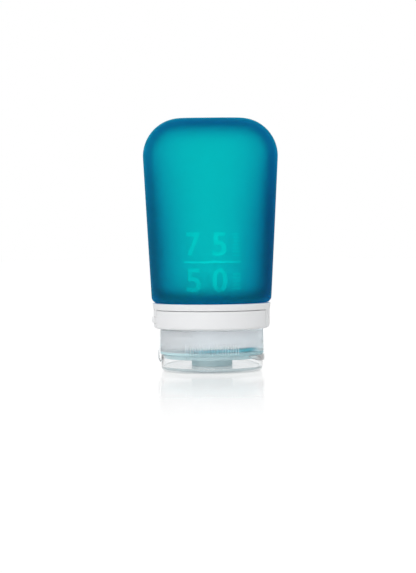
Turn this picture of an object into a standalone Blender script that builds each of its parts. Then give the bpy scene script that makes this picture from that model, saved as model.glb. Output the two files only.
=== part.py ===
"""Squeezable travel tube: a silicone bottle that stands on its closed flip cap.

Metres, +Z up. The origin is the middle of the lid's flat face, on which the tube stands.
The front is at -Y, the lid's hinge and the strap's pin are at -X, the thumb lip is at +X.
"""
import math

import bmesh
import bpy

MM = 0.001

# Clearances between pieces, and how far cutters and joined shapes reach past a face
FIT_GAP = 0.3 * MM
THREAD_GAP = 0.45 * MM
PLUG_GAP = 0.6 * MM
PIN_EAR_GAP = 0.2 * MM
OVERRUN = 1.0 * MM
BURY = 0.4 * MM

# Silicone bottle
BODY_HEIGHT = 70.5 * MM
BODY_WIDTH = 51.8 * MM
BODY_WALL = 1.9 * MM
SHOULDER_OVERHANG = 0.8 * MM
SHOULDER_FILLET = 2.2 * MM
SHOULDER_WALL = 3.0 * MM
SHOULDER_INNER_FILLET = 4.0 * MM
END_DEPTH = 18.6 * MM
END_CORNER_RADIUS = 14.0 * MM
END_FILLET = 7.0 * MM
END_SQUARENESS = 3.2
SQUARENESS_RISE = 0.7
DEPTH_TAPER_POWER = 1.1
NECK_BORE_DIAMETER = 27.6 * MM
NECK_WALL = 1.5 * MM
LIP_WIDTH = 1.6 * MM
LIP_THICKNESS = 1.35 * MM

# Threaded ring on the neck
NECK_RING_WALL = 1.2 * MM
THREAD_DEPTH = 1.0 * MM
THREAD_PITCH = 4.0 * MM
THREAD_RISE = 5.0 * MM
THREAD_FOOT = 1.6 * MM
THREAD_CREST = 0.8 * MM
THREAD_MARGIN = 0.9 * MM
SEAT_STEP = 0.2 * MM
BEAD_HEIGHT = 0.3 * MM
BEAD_WIDTH = 1.2 * MM
BEAD_DROP = 1.2 * MM

# Collar, strap and pin
COLLAR_WALL = 1.0 * MM
COLLAR_CLEARANCE = 0.4 * MM
FLANGE_HEIGHT = 2.3 * MM
FLANGE_OVERHANG = 0.1 * MM
FLANGE_TAPER = 0.4 * MM
COLLAR_INSET = 0.1 * MM
COLLAR_EDGE = 0.3 * MM
COLLAR_FOOT_ROUND = 2.0 * MM
STRAP_THICKNESS = 2.7 * MM
STRAP_HEIGHT = 7.2 * MM
STRAP_EDGE = 0.4 * MM
STRAP_FOOT_ROUND = 1.3 * MM
STRAP_START = math.radians(198.6)
STRAP_END = math.radians(337.0)
CATCH_ANGLE = math.radians(338.2)
EAR_END = math.radians(196.4)
NOTCH_START = math.radians(172.0)
KNUCKLE_RADIUS = 1.8 * MM
KNUCKLE_REACH = 0.4 * MM
KNUCKLE_HEIGHT = 2.1 * MM
LOWER_EAR_HEIGHT = 1.9 * MM
PIN_DIAMETER = 1.0 * MM
PIN_RECESS = 0.7 * MM
PIN_HOLE_ROOF = 0.5 * MM
PIN_CHAMFER = 0.15 * MM

# Screw cap
CAP_WALL = 1.5 * MM
CAP_SKIRT_HEIGHT = 9.3 * MM
CAP_EDGE = 0.4 * MM
DECK_THICKNESS = 1.2 * MM
DECK_DROP = 0.5 * MM
SEAT_RING_DEPTH = 1.7 * MM
SEAT_RING_WALL = 1.0 * MM
SPOUT_DIAMETER = 15.7 * MM
SPOUT_WALL = 1.0 * MM
SPOUT_END_WALL = 0.8 * MM
ORIFICE_DIAMETER = 6.4 * MM

# Flip lid and its hinge
LID_HEIGHT = 6.4 * MM
LID_INSET = 0.25 * MM
LID_RIM_WALL = 0.6 * MM
LID_SIDE_WALL = 1.1 * MM
LID_PLATE = 1.7 * MM
LID_CORNER_RADIUS = 1.7 * MM
LID_INNER_FILLET = 0.8 * MM
PLUG_HEIGHT = 1.6 * MM
THUMB_LIP_REACH = 0.7 * MM
THUMB_LIP_HEIGHT = 2.9 * MM
THUMB_LIP_ANGLE = math.radians(35.0)
HINGE_WIDTH = 6.0 * MM
HINGE_HALF_HEIGHT = 2.6 * MM
HINGE_BULGE = 0.75 * MM
HINGE_STEP = 0.05 * MM
HINGE_AXIS_OFFSET = 0.1 * MM

# Slit valve and the ring that keeps it
VALVE_WALL = 0.9 * MM
VALVE_LEDGE = 1.1 * MM
VALVE_DOME_CLEARANCE = 0.05 * MM
VALVE_DOME_RISE = 1.7 * MM
VALVE_DOME_THICKNESS = 0.7 * MM
SLIT_MARGIN = 0.6 * MM
SLIT_WIDTH = 0.3 * MM
RETAINER_WALL = 1.0 * MM
RETAINER_FLANGE_WIDTH = 3.05 * MM
RETAINER_FLANGE_HEIGHT = 0.8 * MM

# Facets
RING_STEPS = 48
SMALL_STEPS = 24
SIDE_STATIONS = 9
CORNER_STATIONS = 12
FILLET_STATIONS = 4
MERGE_DISTANCE = 0.00001
SHARP_ANGLE = math.radians(30.0)
THREAD_RUNOUT_SHARE = 1 / 12
THREAD_END_SHARE = 0.2

# Heights, from the lid's face upwards
RIM_Z = LID_HEIGHT
SKIRT_Z = RIM_Z + FIT_GAP
HINGE_Z = (RIM_Z + SKIRT_Z) / 2
DECK_Z = SKIRT_Z - DECK_DROP
DECK_TOP_Z = DECK_Z + DECK_THICKNESS
LIP_Z = DECK_TOP_Z + FIT_GAP
LIP_TOP_Z = LIP_Z + LIP_THICKNESS
NECK_RING_Z = LIP_TOP_Z + FIT_GAP
CAP_TOP_Z = SKIRT_Z + CAP_SKIRT_HEIGHT
COLLAR_Z = CAP_TOP_Z + COLLAR_CLEARANCE
STRAP_TOP_Z = COLLAR_Z + STRAP_HEIGHT
FLANGE_Z = STRAP_TOP_Z + FIT_GAP
FLANGE_TOP_Z = FLANGE_Z + FLANGE_HEIGHT
BODY_Z = FLANGE_TOP_Z + FIT_GAP
SEAT_RING_Z = SKIRT_Z - SEAT_RING_DEPTH
SPOUT_Z = LID_PLATE + FIT_GAP
NOTCH_Z = COLLAR_Z + LOWER_EAR_HEIGHT
KNUCKLE_Z = NOTCH_Z + FIT_GAP
KNUCKLE_TOP_Z = KNUCKLE_Z + KNUCKLE_HEIGHT
NOTCH_TOP_Z = KNUCKLE_TOP_Z + FIT_GAP
VALVE_Z = SPOUT_Z + SPOUT_END_WALL + FIT_GAP
VALVE_LEDGE_Z = VALVE_Z + VALVE_LEDGE
RETAINER_Z = VALVE_LEDGE_Z + FIT_GAP
RETAINER_FLANGE_Z = DECK_TOP_Z + FIT_GAP

# Radii, from the neck's bore outwards
NECK_BORE = NECK_BORE_DIAMETER / 2
NECK_OUTER = NECK_BORE + NECK_WALL
LIP_RADIUS = NECK_OUTER + LIP_WIDTH
RING_BORE = NECK_OUTER + FIT_GAP
THREAD_ROOT = RING_BORE + NECK_RING_WALL
THREAD_TOP = THREAD_ROOT + THREAD_DEPTH
SEAT_RADIUS = THREAD_TOP + SEAT_STEP
COLLAR_BORE = SEAT_RADIUS + FIT_GAP
COLLAR_CORE = COLLAR_BORE + COLLAR_WALL
STRAP_INNER = COLLAR_CORE + FIT_GAP
STRAP_OUTER = STRAP_INNER + STRAP_THICKNESS
COLLAR_OUTER = STRAP_OUTER - COLLAR_INSET
FLANGE_RADIUS = STRAP_OUTER + FLANGE_OVERHANG
SHOULDER_RADIUS = FLANGE_RADIUS + SHOULDER_OVERHANG
CAP_BORE = THREAD_TOP + THREAD_GAP
CAP_RADIUS = CAP_BORE + CAP_WALL
LID_RADIUS = CAP_RADIUS - LID_INSET
LID_RIM_BORE = LID_RADIUS - LID_RIM_WALL
LID_BORE = LID_RADIUS - LID_SIDE_WALL
SEAT_RING_OUTER = LID_RIM_BORE - FIT_GAP
SEAT_RING_INNER = SEAT_RING_OUTER - SEAT_RING_WALL
SPOUT_OUTER = SPOUT_DIAMETER / 2
SPOUT_BORE = SPOUT_OUTER - SPOUT_WALL
ORIFICE = ORIFICE_DIAMETER / 2
PLUG_RADIUS = ORIFICE - PLUG_GAP
VALVE_OUTER = SPOUT_BORE - FIT_GAP
VALVE_BORE = VALVE_OUTER - VALVE_WALL
RETAINER_OUTER = VALVE_BORE - FIT_GAP
RETAINER_BORE = RETAINER_OUTER - RETAINER_WALL
RETAINER_FLANGE = RETAINER_OUTER + RETAINER_FLANGE_WIDTH
VALVE_DOME_RADIUS = RETAINER_BORE - VALVE_DOME_CLEARANCE - VALVE_DOME_THICKNESS
SLIT_LENGTH = 2 * (VALVE_DOME_RADIUS - SLIT_MARGIN)
HINGE_REACH = CAP_RADIUS + HINGE_BULGE

# Joint axes
LID_AXIS = (-(HINGE_REACH + HINGE_AXIS_OFFSET), 0, HINGE_Z)
STRAP_AXIS = (-(STRAP_OUTER + KNUCKLE_REACH - KNUCKLE_RADIUS), 0, 0)


def clear_scene():
    """Remove every object that the file opened with."""
    for obj in list(bpy.data.objects):
        bpy.data.objects.remove(obj, do_unlink=True)


def new_collection(name):
    """Return a new collection in the scene."""
    collection = bpy.data.collections.new(name)
    bpy.context.scene.collection.children.link(collection)
    return collection


def new_object(name, mesh, collection):
    """Return an object with this mesh, in this collection."""
    obj = bpy.data.objects.new(name, mesh)
    collection.objects.link(obj)
    return obj


def mesh_from_bmesh(name, shape):
    """Turn a bmesh into a mesh that is shaded smooth between its sharp edges."""
    bmesh.ops.recalc_face_normals(shape, faces=shape.faces)
    mesh = bpy.data.meshes.new(name)
    shape.to_mesh(mesh)
    shape.free()
    shade(mesh)
    return mesh


def shade(mesh):
    """Shade a mesh smooth, with its edges sharp past the sharp angle."""
    mesh.shade_smooth()
    mesh.set_sharp_from_angle(angle=SHARP_ANGLE)


def make_cutter(name, mesh):
    """Return a hidden object that only shapes others."""
    obj = new_object(name, mesh, CUTTERS)
    obj.hide_render = True
    obj.display_type = "WIRE"
    return obj


def combine(target, other, operation):
    """Add a Boolean with the other object to the target."""
    modifier = target.modifiers.new(other.name, "BOOLEAN")
    modifier.operation = operation
    modifier.solver = "EXACT"
    modifier.object = other


def arc(center, radius, start, end, count):
    """Return count + 1 points along an arc in a plane, angles in degrees."""
    points = []
    for index in range(count + 1):
        angle = math.radians(start + (end - start) * index / count)
        x = center[0] + radius * math.cos(angle)
        y = center[1] + radius * math.sin(angle)
        points.append((x, y))
    return points


def turned_mesh(name, profile, closed=True, steps=RING_STEPS):
    """Turn a (radius, height) profile about Z; its outer side runs downwards."""
    points = [(radius, 0, height) for radius, height in profile]
    edges = [(index, index + 1) for index in range(len(points) - 1)]
    if closed:
        edges.append((len(points) - 1, 0))
    outline = bpy.data.meshes.new(name + "_profile")
    outline.from_pydata(points, edges, [])
    source = new_object(name + "_profile", outline, CUTTERS)
    screw = source.modifiers.new("Turn", "SCREW")
    screw.steps = steps
    screw.render_steps = steps
    screw.use_merge_vertices = True
    screw.merge_threshold = MERGE_DISTANCE
    graph = bpy.context.evaluated_depsgraph_get()
    mesh = bpy.data.meshes.new_from_object(source.evaluated_get(graph))
    mesh.name = name
    bpy.data.objects.remove(source, do_unlink=True)
    shade(mesh)
    return mesh


def prism_mesh(name, outline, low, high):
    """Raise a flat (x, y) outline from one height to another."""
    shape = bmesh.new()
    floor = shape.faces.new([shape.verts.new((x, y, low)) for x, y in outline])
    raised = bmesh.ops.extrude_face_region(shape, geom=[floor])["geom"]
    roof = [item for item in raised if isinstance(item, bmesh.types.BMVert)]
    bmesh.ops.translate(shape, vec=(0, 0, high - low), verts=roof)
    return mesh_from_bmesh(name, shape)


def sector_outline(inner, outer, start, end):
    """Return the outline of a ring's sector, with its corners on the ring's facets."""
    step = 2 * math.pi / RING_STEPS
    first = math.floor(start / step) + 1
    last = math.ceil(end / step) - 1
    angles = [start] + [index * step for index in range(first, last + 1)] + [end]
    near = [(inner * math.cos(angle), inner * math.sin(angle)) for angle in angles]
    far = [(outer * math.cos(angle), outer * math.sin(angle)) for angle in reversed(angles)]
    return near + far


def cylinder_mesh(name, radius, low, high, center=(0, 0), steps=SMALL_STEPS):
    """Return an upright cylinder between two heights."""
    shape = bmesh.new()
    bmesh.ops.create_cone(
        shape, cap_ends=True, segments=steps, radius1=radius, radius2=radius, depth=high - low
    )
    bmesh.ops.translate(shape, vec=(center[0], center[1], (low + high) / 2), verts=shape.verts)
    return mesh_from_bmesh(name, shape)


def box_mesh(name, size, center):
    """Return a box of this size about its centre."""
    shape = bmesh.new()
    bmesh.ops.create_cube(shape, size=1)
    bmesh.ops.scale(shape, vec=size, verts=shape.verts)
    bmesh.ops.translate(shape, vec=center, verts=shape.verts)
    return mesh_from_bmesh(name, shape)


def loft(shape, rings):
    """Join rings of equal counts in order, and close the first and the last."""
    loops = [[shape.verts.new(point) for point in ring] for ring in rings]
    for upper, lower in zip(loops, loops[1:]):
        for index in range(len(upper)):
            after = (index + 1) % len(upper)
            shape.faces.new((upper[index], upper[after], lower[after], lower[index]))
    shape.faces.new(loops[0])
    shape.faces.new(loops[-1])


def ridge_mesh(name, wall, crest, low, phase):
    """Return one thread ridge: a tapered strip that climbs round the wall.

    It rises as it turns from +X towards +Y, which makes a right-hand thread.
    """
    root = wall - math.copysign(BURY, crest - wall)
    turns = THREAD_RISE / THREAD_PITCH
    count = math.ceil(turns * RING_STEPS)
    rings = []
    for index in range(count + 1):
        turn = turns * index / count
        runout = min(turn, turns - turn) / THREAD_RUNOUT_SHARE
        height_share = min(1, THREAD_END_SHARE + (1 - THREAD_END_SHARE) * runout)
        top = root + (crest - root) * height_share
        angle = 2 * math.pi * turn + phase
        middle = low + THREAD_PITCH * turn
        corners = (
            (root, middle - THREAD_FOOT / 2),
            (top, middle - THREAD_CREST / 2),
            (top, middle + THREAD_CREST / 2),
            (root, middle + THREAD_FOOT / 2),
        )
        rings.append([(r * math.cos(angle), r * math.sin(angle), z) for r, z in corners])
    shape = bmesh.new()
    loft(shape, rings)
    return mesh_from_bmesh(name, shape)


def finish(name, colour, roughness, alpha=1.0, metallic=0.0):
    """Return a Principled material."""
    material = bpy.data.materials.new(name)
    material.use_nodes = True
    shader = material.node_tree.nodes["Principled BSDF"]
    shader.inputs["Base Color"].default_value = (*colour, 1.0)
    shader.inputs["Roughness"].default_value = roughness
    shader.inputs["Metallic"].default_value = metallic
    shader.inputs["Alpha"].default_value = alpha
    return material


def axis_empty(name, location, parent=None):
    """Return an empty that marks a joint's axis."""
    empty = new_object(name, None, PARTS)
    empty.location = location
    empty.parent = parent
    return empty


def make_part(name, mesh, material, axis=None):
    """Return a sub-part, hung on the empty of the joint that moves it."""
    mesh.materials.clear()
    mesh.materials.append(material)
    obj = new_object(name, mesh, PARTS)
    if axis:
        obj.parent = axis
        obj.matrix_parent_inverse = axis_inverse(axis)
    return obj


def axis_inverse(axis):
    """Return the matrix that undoes an empty's place and its parents' places."""
    bpy.context.view_layer.update()
    return axis.matrix_world.inverted()


def body_ring(height, inset):
    """Return the body's ring of points at a height above its shoulder.

    The section is round at the shoulder and turns into a flat rounded bar at the closed end.
    """
    corner_z = BODY_HEIGHT - END_CORNER_RADIUS
    fillet_z = BODY_HEIGHT - END_FILLET
    side_share = (height - SHOULDER_FILLET) / (corner_z - SHOULDER_FILLET)
    side_share = min(1, max(0, side_share))
    half_width = SHOULDER_RADIUS + (BODY_WIDTH / 2 - SHOULDER_RADIUS) * side_share - inset
    if height > corner_z:
        rise = height - corner_z
        reach = math.sqrt(max(0, (END_CORNER_RADIUS - inset) ** 2 - rise ** 2))
        half_width = BODY_WIDTH / 2 - END_CORNER_RADIUS + reach
    depth_share = (height - SHOULDER_FILLET) / (fillet_z - SHOULDER_FILLET)
    depth_share = min(1, max(0, depth_share))
    flare = (SHOULDER_RADIUS - END_DEPTH / 2) * (1 - depth_share) ** DEPTH_TAPER_POWER
    half_depth = END_DEPTH / 2 + flare - inset
    if height > fillet_z:
        rise = height - fillet_z
        reach = math.sqrt(max(0, (END_FILLET - inset) ** 2 - rise ** 2))
        half_depth = END_DEPTH / 2 - END_FILLET + reach
    squareness = 2 + (END_SQUARENESS - 2) * side_share ** SQUARENESS_RISE
    return half_width, half_depth, squareness


def oval(half_width, half_depth, squareness, height):
    """Return the points of a rounded section at a height."""
    points = []
    for index in range(RING_STEPS):
        angle = 2 * math.pi * index / RING_STEPS
        cosine = math.cos(angle)
        sine = math.sin(angle)
        x = half_width * math.copysign(abs(cosine) ** (2 / squareness), cosine)
        y = half_depth * math.copysign(abs(sine) ** (2 / squareness), sine)
        points.append((x, y, height))
    return points


def skin_rings(inset, floor, fillet):
    """Return one skin of the body, from the closed end down to the shoulder's flat."""
    corner_z = BODY_HEIGHT - END_CORNER_RADIUS
    rings = []
    for index in range(CORNER_STATIONS):
        angle = math.pi / 2 * (1 - index / CORNER_STATIONS)
        height = corner_z + (END_CORNER_RADIUS - inset) * math.sin(angle)
        rings.append(oval(*body_ring(height, inset), BODY_Z + height))
    for index in range(SIDE_STATIONS):
        height = corner_z + (floor + fillet - corner_z) * index / SIDE_STATIONS
        rings.append(oval(*body_ring(height, inset), BODY_Z + height))
    half_width, half_depth, squareness = body_ring(floor + fillet, inset)
    for index in range(FILLET_STATIONS + 1):
        angle = math.pi / 2 * index / FILLET_STATIONS
        pull = fillet * (1 - math.cos(angle))
        height = floor + fillet * (1 - math.sin(angle))
        ring = oval(half_width - pull, half_depth - pull, squareness, BODY_Z + height)
        rings.append(ring)
    return rings


def circle(radius, height):
    """Return a round ring of points at a height."""
    return oval(radius, radius, 2, height)


def make_squeeze_body(material):
    """The silicone bottle: outer skin, neck, turned-out lip and inner skin in one closed loft."""
    outer = skin_rings(0, 0, SHOULDER_FILLET)
    inner = skin_rings(BODY_WALL, SHOULDER_WALL, SHOULDER_INNER_FILLET)
    neck = [
        circle(NECK_OUTER, BODY_Z),
        circle(NECK_OUTER, LIP_TOP_Z),
        circle(LIP_RADIUS, LIP_TOP_Z),
        circle(LIP_RADIUS, LIP_Z),
        circle(NECK_BORE, LIP_Z),
        circle(NECK_BORE, BODY_Z + SHOULDER_WALL),
    ]
    shape = bmesh.new()
    loft(shape, outer + neck + inner[::-1])
    return make_part("squeeze_body", mesh_from_bmesh("squeeze_body", shape), material)


def make_neck_ring(material):
    """The rigid ring round the silicone neck, with the cap's thread and the collar's seat."""
    seat_foot = CAP_TOP_Z + COLLAR_CLEARANCE / 2
    bead = FLANGE_Z - BEAD_DROP
    profile = [
        (SEAT_RADIUS, FLANGE_TOP_Z),
        (SEAT_RADIUS, bead + BEAD_WIDTH / 2),
        (SEAT_RADIUS + BEAD_HEIGHT, bead),
        (SEAT_RADIUS, bead - BEAD_WIDTH / 2),
        (SEAT_RADIUS, seat_foot),
        (THREAD_ROOT, seat_foot),
        (THREAD_ROOT, NECK_RING_Z),
        (RING_BORE, NECK_RING_Z),
        (RING_BORE, FLANGE_TOP_Z),
    ]
    ring = make_part("neck_ring", turned_mesh("neck_ring", profile), material)
    thread = ridge_mesh("neck_thread", THREAD_ROOT, THREAD_TOP, thread_start(), 0)
    combine(ring, make_cutter("neck_thread", thread), "UNION")
    return ring


def thread_start():
    """Return the height of the middle of the thread's lower end."""
    return NECK_RING_Z + THREAD_MARGIN


def make_collar_ring(material):
    """The white collar: flange all round, catch at the right, hinge ears at the left."""
    bead = FLANGE_Z - BEAD_DROP
    foot = arc((COLLAR_OUTER - COLLAR_FOOT_ROUND, COLLAR_Z + COLLAR_FOOT_ROUND),
               COLLAR_FOOT_ROUND, 0, -90, FILLET_STATIONS)
    profile = [
        (FLANGE_RADIUS - COLLAR_EDGE, FLANGE_TOP_Z),
        (FLANGE_RADIUS, FLANGE_TOP_Z - COLLAR_EDGE),
        (FLANGE_RADIUS - FLANGE_TAPER, FLANGE_Z),
        (COLLAR_OUTER, FLANGE_Z),
        *foot,
        (COLLAR_BORE, COLLAR_Z),
        (COLLAR_BORE, bead - BEAD_WIDTH / 2),
        (COLLAR_BORE + BEAD_HEIGHT, bead),
        (COLLAR_BORE, bead + BEAD_WIDTH / 2),
        (COLLAR_BORE, FLANGE_TOP_Z),
    ]
    collar = make_part("collar_ring", turned_mesh("collar_ring", profile), material)
    far = FLANGE_RADIUS + OVERRUN
    slot = sector_outline(COLLAR_CORE, far, EAR_END, CATCH_ANGLE)
    notch = sector_outline(COLLAR_CORE, far, NOTCH_START, STRAP_START)
    below = COLLAR_Z - OVERRUN
    pin_roof = FLANGE_Z - PIN_HOLE_ROOF
    ear_hole = PIN_DIAMETER / 2 + PIN_EAR_GAP
    scallop = KNUCKLE_RADIUS + FIT_GAP
    spot = STRAP_AXIS[:2]
    cuts = (
        ("strap_slot", prism_mesh("strap_slot", slot, below, FLANGE_Z)),
        ("knuckle_notch", prism_mesh("knuckle_notch", notch, NOTCH_Z, NOTCH_TOP_Z)),
        ("knuckle_scallop", cylinder_mesh("knuckle_scallop", scallop, NOTCH_Z, NOTCH_TOP_Z, spot)),
        ("pin_hole", cylinder_mesh("pin_hole", ear_hole, below, pin_roof, spot)),
    )
    for name, mesh in cuts:
        combine(collar, make_cutter(name, mesh), "DIFFERENCE")
    return collar


def make_loop_strap(material, axis):
    """The strap: a band that follows the collar's front, with its knuckle at the pin."""
    foot = arc((STRAP_OUTER - STRAP_FOOT_ROUND, COLLAR_Z + STRAP_FOOT_ROUND),
               STRAP_FOOT_ROUND, 0, -90, FILLET_STATIONS)
    profile = [
        (STRAP_OUTER - STRAP_EDGE, STRAP_TOP_Z),
        (STRAP_OUTER, STRAP_TOP_Z - STRAP_EDGE),
        *foot,
        (STRAP_INNER, COLLAR_Z),
        (STRAP_INNER, STRAP_TOP_Z),
    ]
    strap = make_part("loop_strap", turned_mesh("loop_strap", profile), material, axis)
    far = STRAP_OUTER + OVERRUN
    near = STRAP_INNER - OVERRUN
    band = sector_outline(near, far, STRAP_START, STRAP_END)
    band_mesh = prism_mesh("strap_band", band, COLLAR_Z - OVERRUN, STRAP_TOP_Z + OVERRUN)
    arm_start = math.pi
    arm_end = STRAP_START + (STRAP_START - EAR_END)
    arm = sector_outline(STRAP_INNER, STRAP_OUTER, arm_start, arm_end)
    spot = STRAP_AXIS[:2]
    hole = PIN_DIAMETER / 2 + FIT_GAP
    arm_mesh = prism_mesh("strap_arm", arm, KNUCKLE_Z, KNUCKLE_TOP_Z)
    knuckle = cylinder_mesh("strap_knuckle", KNUCKLE_RADIUS, KNUCKLE_Z, KNUCKLE_TOP_Z, spot)
    bore = cylinder_mesh("strap_bore", hole, COLLAR_Z, STRAP_TOP_Z, spot)
    combine(strap, make_cutter("strap_band", band_mesh), "INTERSECT")
    combine(strap, make_cutter("strap_arm", arm_mesh), "UNION")
    combine(strap, make_cutter("strap_knuckle", knuckle), "UNION")
    combine(strap, make_cutter("strap_bore", bore), "DIFFERENCE")
    return strap


def make_strap_hinge_pin(material):
    """The plain pin, pushed up through both ears and the knuckle."""
    radius = PIN_DIAMETER / 2
    foot = COLLAR_Z + PIN_RECESS
    tip = FLANGE_Z - PIN_HOLE_ROOF - PIN_EAR_GAP
    profile = [
        (0, tip),
        (radius - PIN_CHAMFER, tip),
        (radius, tip - PIN_CHAMFER),
        (radius, foot + PIN_CHAMFER),
        (radius - PIN_CHAMFER, foot),
        (0, foot),
    ]
    mesh = turned_mesh("strap_hinge_pin", profile, closed=False, steps=SMALL_STEPS)
    for vertex in mesh.vertices:
        vertex.co.x += STRAP_AXIS[0]
    return make_part("strap_hinge_pin", mesh, material)


def hinge_lug_mesh(name, wall, direction):
    """Return one half of the bent strip that joins lid and cap, bulging to the hinge's reach."""
    seam = FIT_GAP / 2 + HINGE_STEP
    outline = [(wall - BURY, direction * seam)]
    for index in range(FILLET_STATIONS + 1):
        rise = seam + (HINGE_HALF_HEIGHT - seam) * index / FILLET_STATIONS
        bulge = (HINGE_REACH - wall) * (1 - (rise / HINGE_HALF_HEIGHT) ** 2)
        outline.append((wall + bulge, direction * rise))
    outline.append((wall - BURY, direction * HINGE_HALF_HEIGHT))
    mesh = prism_mesh(name, outline, -HINGE_WIDTH / 2, HINGE_WIDTH / 2)
    for vertex in mesh.vertices:
        reach, rise, across = vertex.co
        vertex.co = (-reach, across, HINGE_Z + rise)
    return mesh


def make_screw_cap(material, axis):
    """The frosted cap: threaded skirt, deck, the lid's seat ring and the spout."""
    profile = [
        (CAP_RADIUS - CAP_EDGE, CAP_TOP_Z),
        (CAP_RADIUS, CAP_TOP_Z - CAP_EDGE),
        (CAP_RADIUS, SKIRT_Z),
        (SEAT_RING_OUTER, SKIRT_Z),
        (SEAT_RING_OUTER, SEAT_RING_Z),
        (SEAT_RING_INNER, SEAT_RING_Z),
        (SEAT_RING_INNER, DECK_Z),
        (SPOUT_OUTER, DECK_Z),
        (SPOUT_OUTER, SPOUT_Z),
        (ORIFICE, SPOUT_Z),
        (ORIFICE, SPOUT_Z + SPOUT_END_WALL),
        (SPOUT_BORE, SPOUT_Z + SPOUT_END_WALL),
        (SPOUT_BORE, DECK_TOP_Z),
        (CAP_BORE, DECK_TOP_Z),
        (CAP_BORE, CAP_TOP_Z),
    ]
    cap = make_part("screw_cap", turned_mesh("screw_cap", profile), material, axis)
    crest = THREAD_ROOT + FIT_GAP
    half_turn = math.pi
    thread = ridge_mesh("cap_thread", CAP_BORE, crest, thread_start(), half_turn)
    combine(cap, make_cutter("cap_thread", thread), "UNION")
    lug = hinge_lug_mesh("cap_hinge_lug", CAP_RADIUS, 1)
    combine(cap, make_cutter("cap_hinge_lug", lug), "UNION")
    return cap


def thumb_lip_outline():
    """Return the crescent that stands out from the lid's rim at +X."""
    count = FILLET_STATIONS * 2
    shares = [2 * index / count - 1 for index in range(count + 1)]
    outline = []
    for share in shares:
        reach = LID_RADIUS + THUMB_LIP_REACH * (1 - share ** 2)
        angle = THUMB_LIP_ANGLE * share
        outline.append((reach * math.cos(angle), reach * math.sin(angle)))
    for share in reversed(shares):
        angle = THUMB_LIP_ANGLE * share
        root = LID_RADIUS - BURY
        outline.append((root * math.cos(angle), root * math.sin(angle)))
    return outline


def make_flip_lid(material, axis):
    """The clear lid: a shallow cup with a flat face, a plug, a thumb lip and a hinge lug."""
    plug_top = LID_PLATE + PLUG_HEIGHT
    step = SEAT_RING_Z - FIT_GAP
    inner = arc((LID_BORE - LID_INNER_FILLET, LID_PLATE + LID_INNER_FILLET),
                LID_INNER_FILLET, -90, 0, FILLET_STATIONS)
    outer = arc((LID_RADIUS - LID_CORNER_RADIUS, LID_CORNER_RADIUS),
                LID_CORNER_RADIUS, 0, -90, FILLET_STATIONS)
    profile = [
        (0, plug_top),
        (PLUG_RADIUS, plug_top),
        (PLUG_RADIUS, LID_PLATE),
        *inner,
        (LID_BORE, step),
        (LID_RIM_BORE, step),
        (LID_RIM_BORE, RIM_Z),
        (LID_RADIUS, RIM_Z),
        *outer,
        (0, 0),
    ]
    lid = make_part("flip_lid", turned_mesh("flip_lid", profile, closed=False), material, axis)
    lip = prism_mesh("thumb_lip", thumb_lip_outline(), RIM_Z - THUMB_LIP_HEIGHT, RIM_Z)
    combine(lid, make_cutter("thumb_lip", lip), "UNION")
    lug = hinge_lug_mesh("lid_hinge_lug", LID_RADIUS, -1)
    combine(lid, make_cutter("lid_hinge_lug", lug), "UNION")
    return lid


def dome(radius, rise, low, start, end):
    """Return points on a domed line over the axis, angles in degrees from the rim."""
    unit = arc((0, 0), 1, start, end, FILLET_STATIONS)
    return [(radius * x, low + rise * y) for x, y in unit]


def make_slit_valve(material, axis):
    """The silicone valve: a cup with a domed floor, slit crosswise."""
    upper_radius = VALVE_DOME_RADIUS + VALVE_DOME_THICKNESS
    upper_rise = VALVE_DOME_RISE + VALVE_DOME_THICKNESS - VALVE_LEDGE
    profile = [
        *dome(upper_radius, upper_rise, VALVE_LEDGE_Z, 90, 0),
        (VALVE_BORE, VALVE_LEDGE_Z),
        (VALVE_BORE, DECK_TOP_Z),
        (VALVE_OUTER, DECK_TOP_Z),
        (VALVE_OUTER, VALVE_Z),
        *dome(VALVE_DOME_RADIUS, VALVE_DOME_RISE, VALVE_Z, 0, 90),
    ]
    mesh = turned_mesh("slit_valve", profile, closed=False, steps=SMALL_STEPS)
    valve = make_part("slit_valve", mesh, material, axis)
    height = DECK_TOP_Z - VALVE_Z
    middle = (0, 0, (DECK_TOP_Z + VALVE_Z) / 2)
    along = box_mesh("slit_along", (SLIT_LENGTH, SLIT_WIDTH, height), middle)
    across = box_mesh("slit_across", (SLIT_WIDTH, SLIT_LENGTH, height), middle)
    combine(valve, make_cutter("slit_along", along), "DIFFERENCE")
    combine(valve, make_cutter("slit_across", across), "DIFFERENCE")
    return valve


def make_valve_retainer(material, axis):
    """The ring that presses on the valve's ledge, with a flange on the cap's deck."""
    top = RETAINER_FLANGE_Z + RETAINER_FLANGE_HEIGHT
    profile = [
        (RETAINER_FLANGE, top),
        (RETAINER_FLANGE, RETAINER_FLANGE_Z),
        (RETAINER_OUTER, RETAINER_FLANGE_Z),
        (RETAINER_OUTER, RETAINER_Z),
        (RETAINER_BORE, RETAINER_Z),
        (RETAINER_BORE, top),
    ]
    mesh = turned_mesh("valve_retainer", profile, steps=SMALL_STEPS)
    return make_part("valve_retainer", mesh, material, axis)


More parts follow.
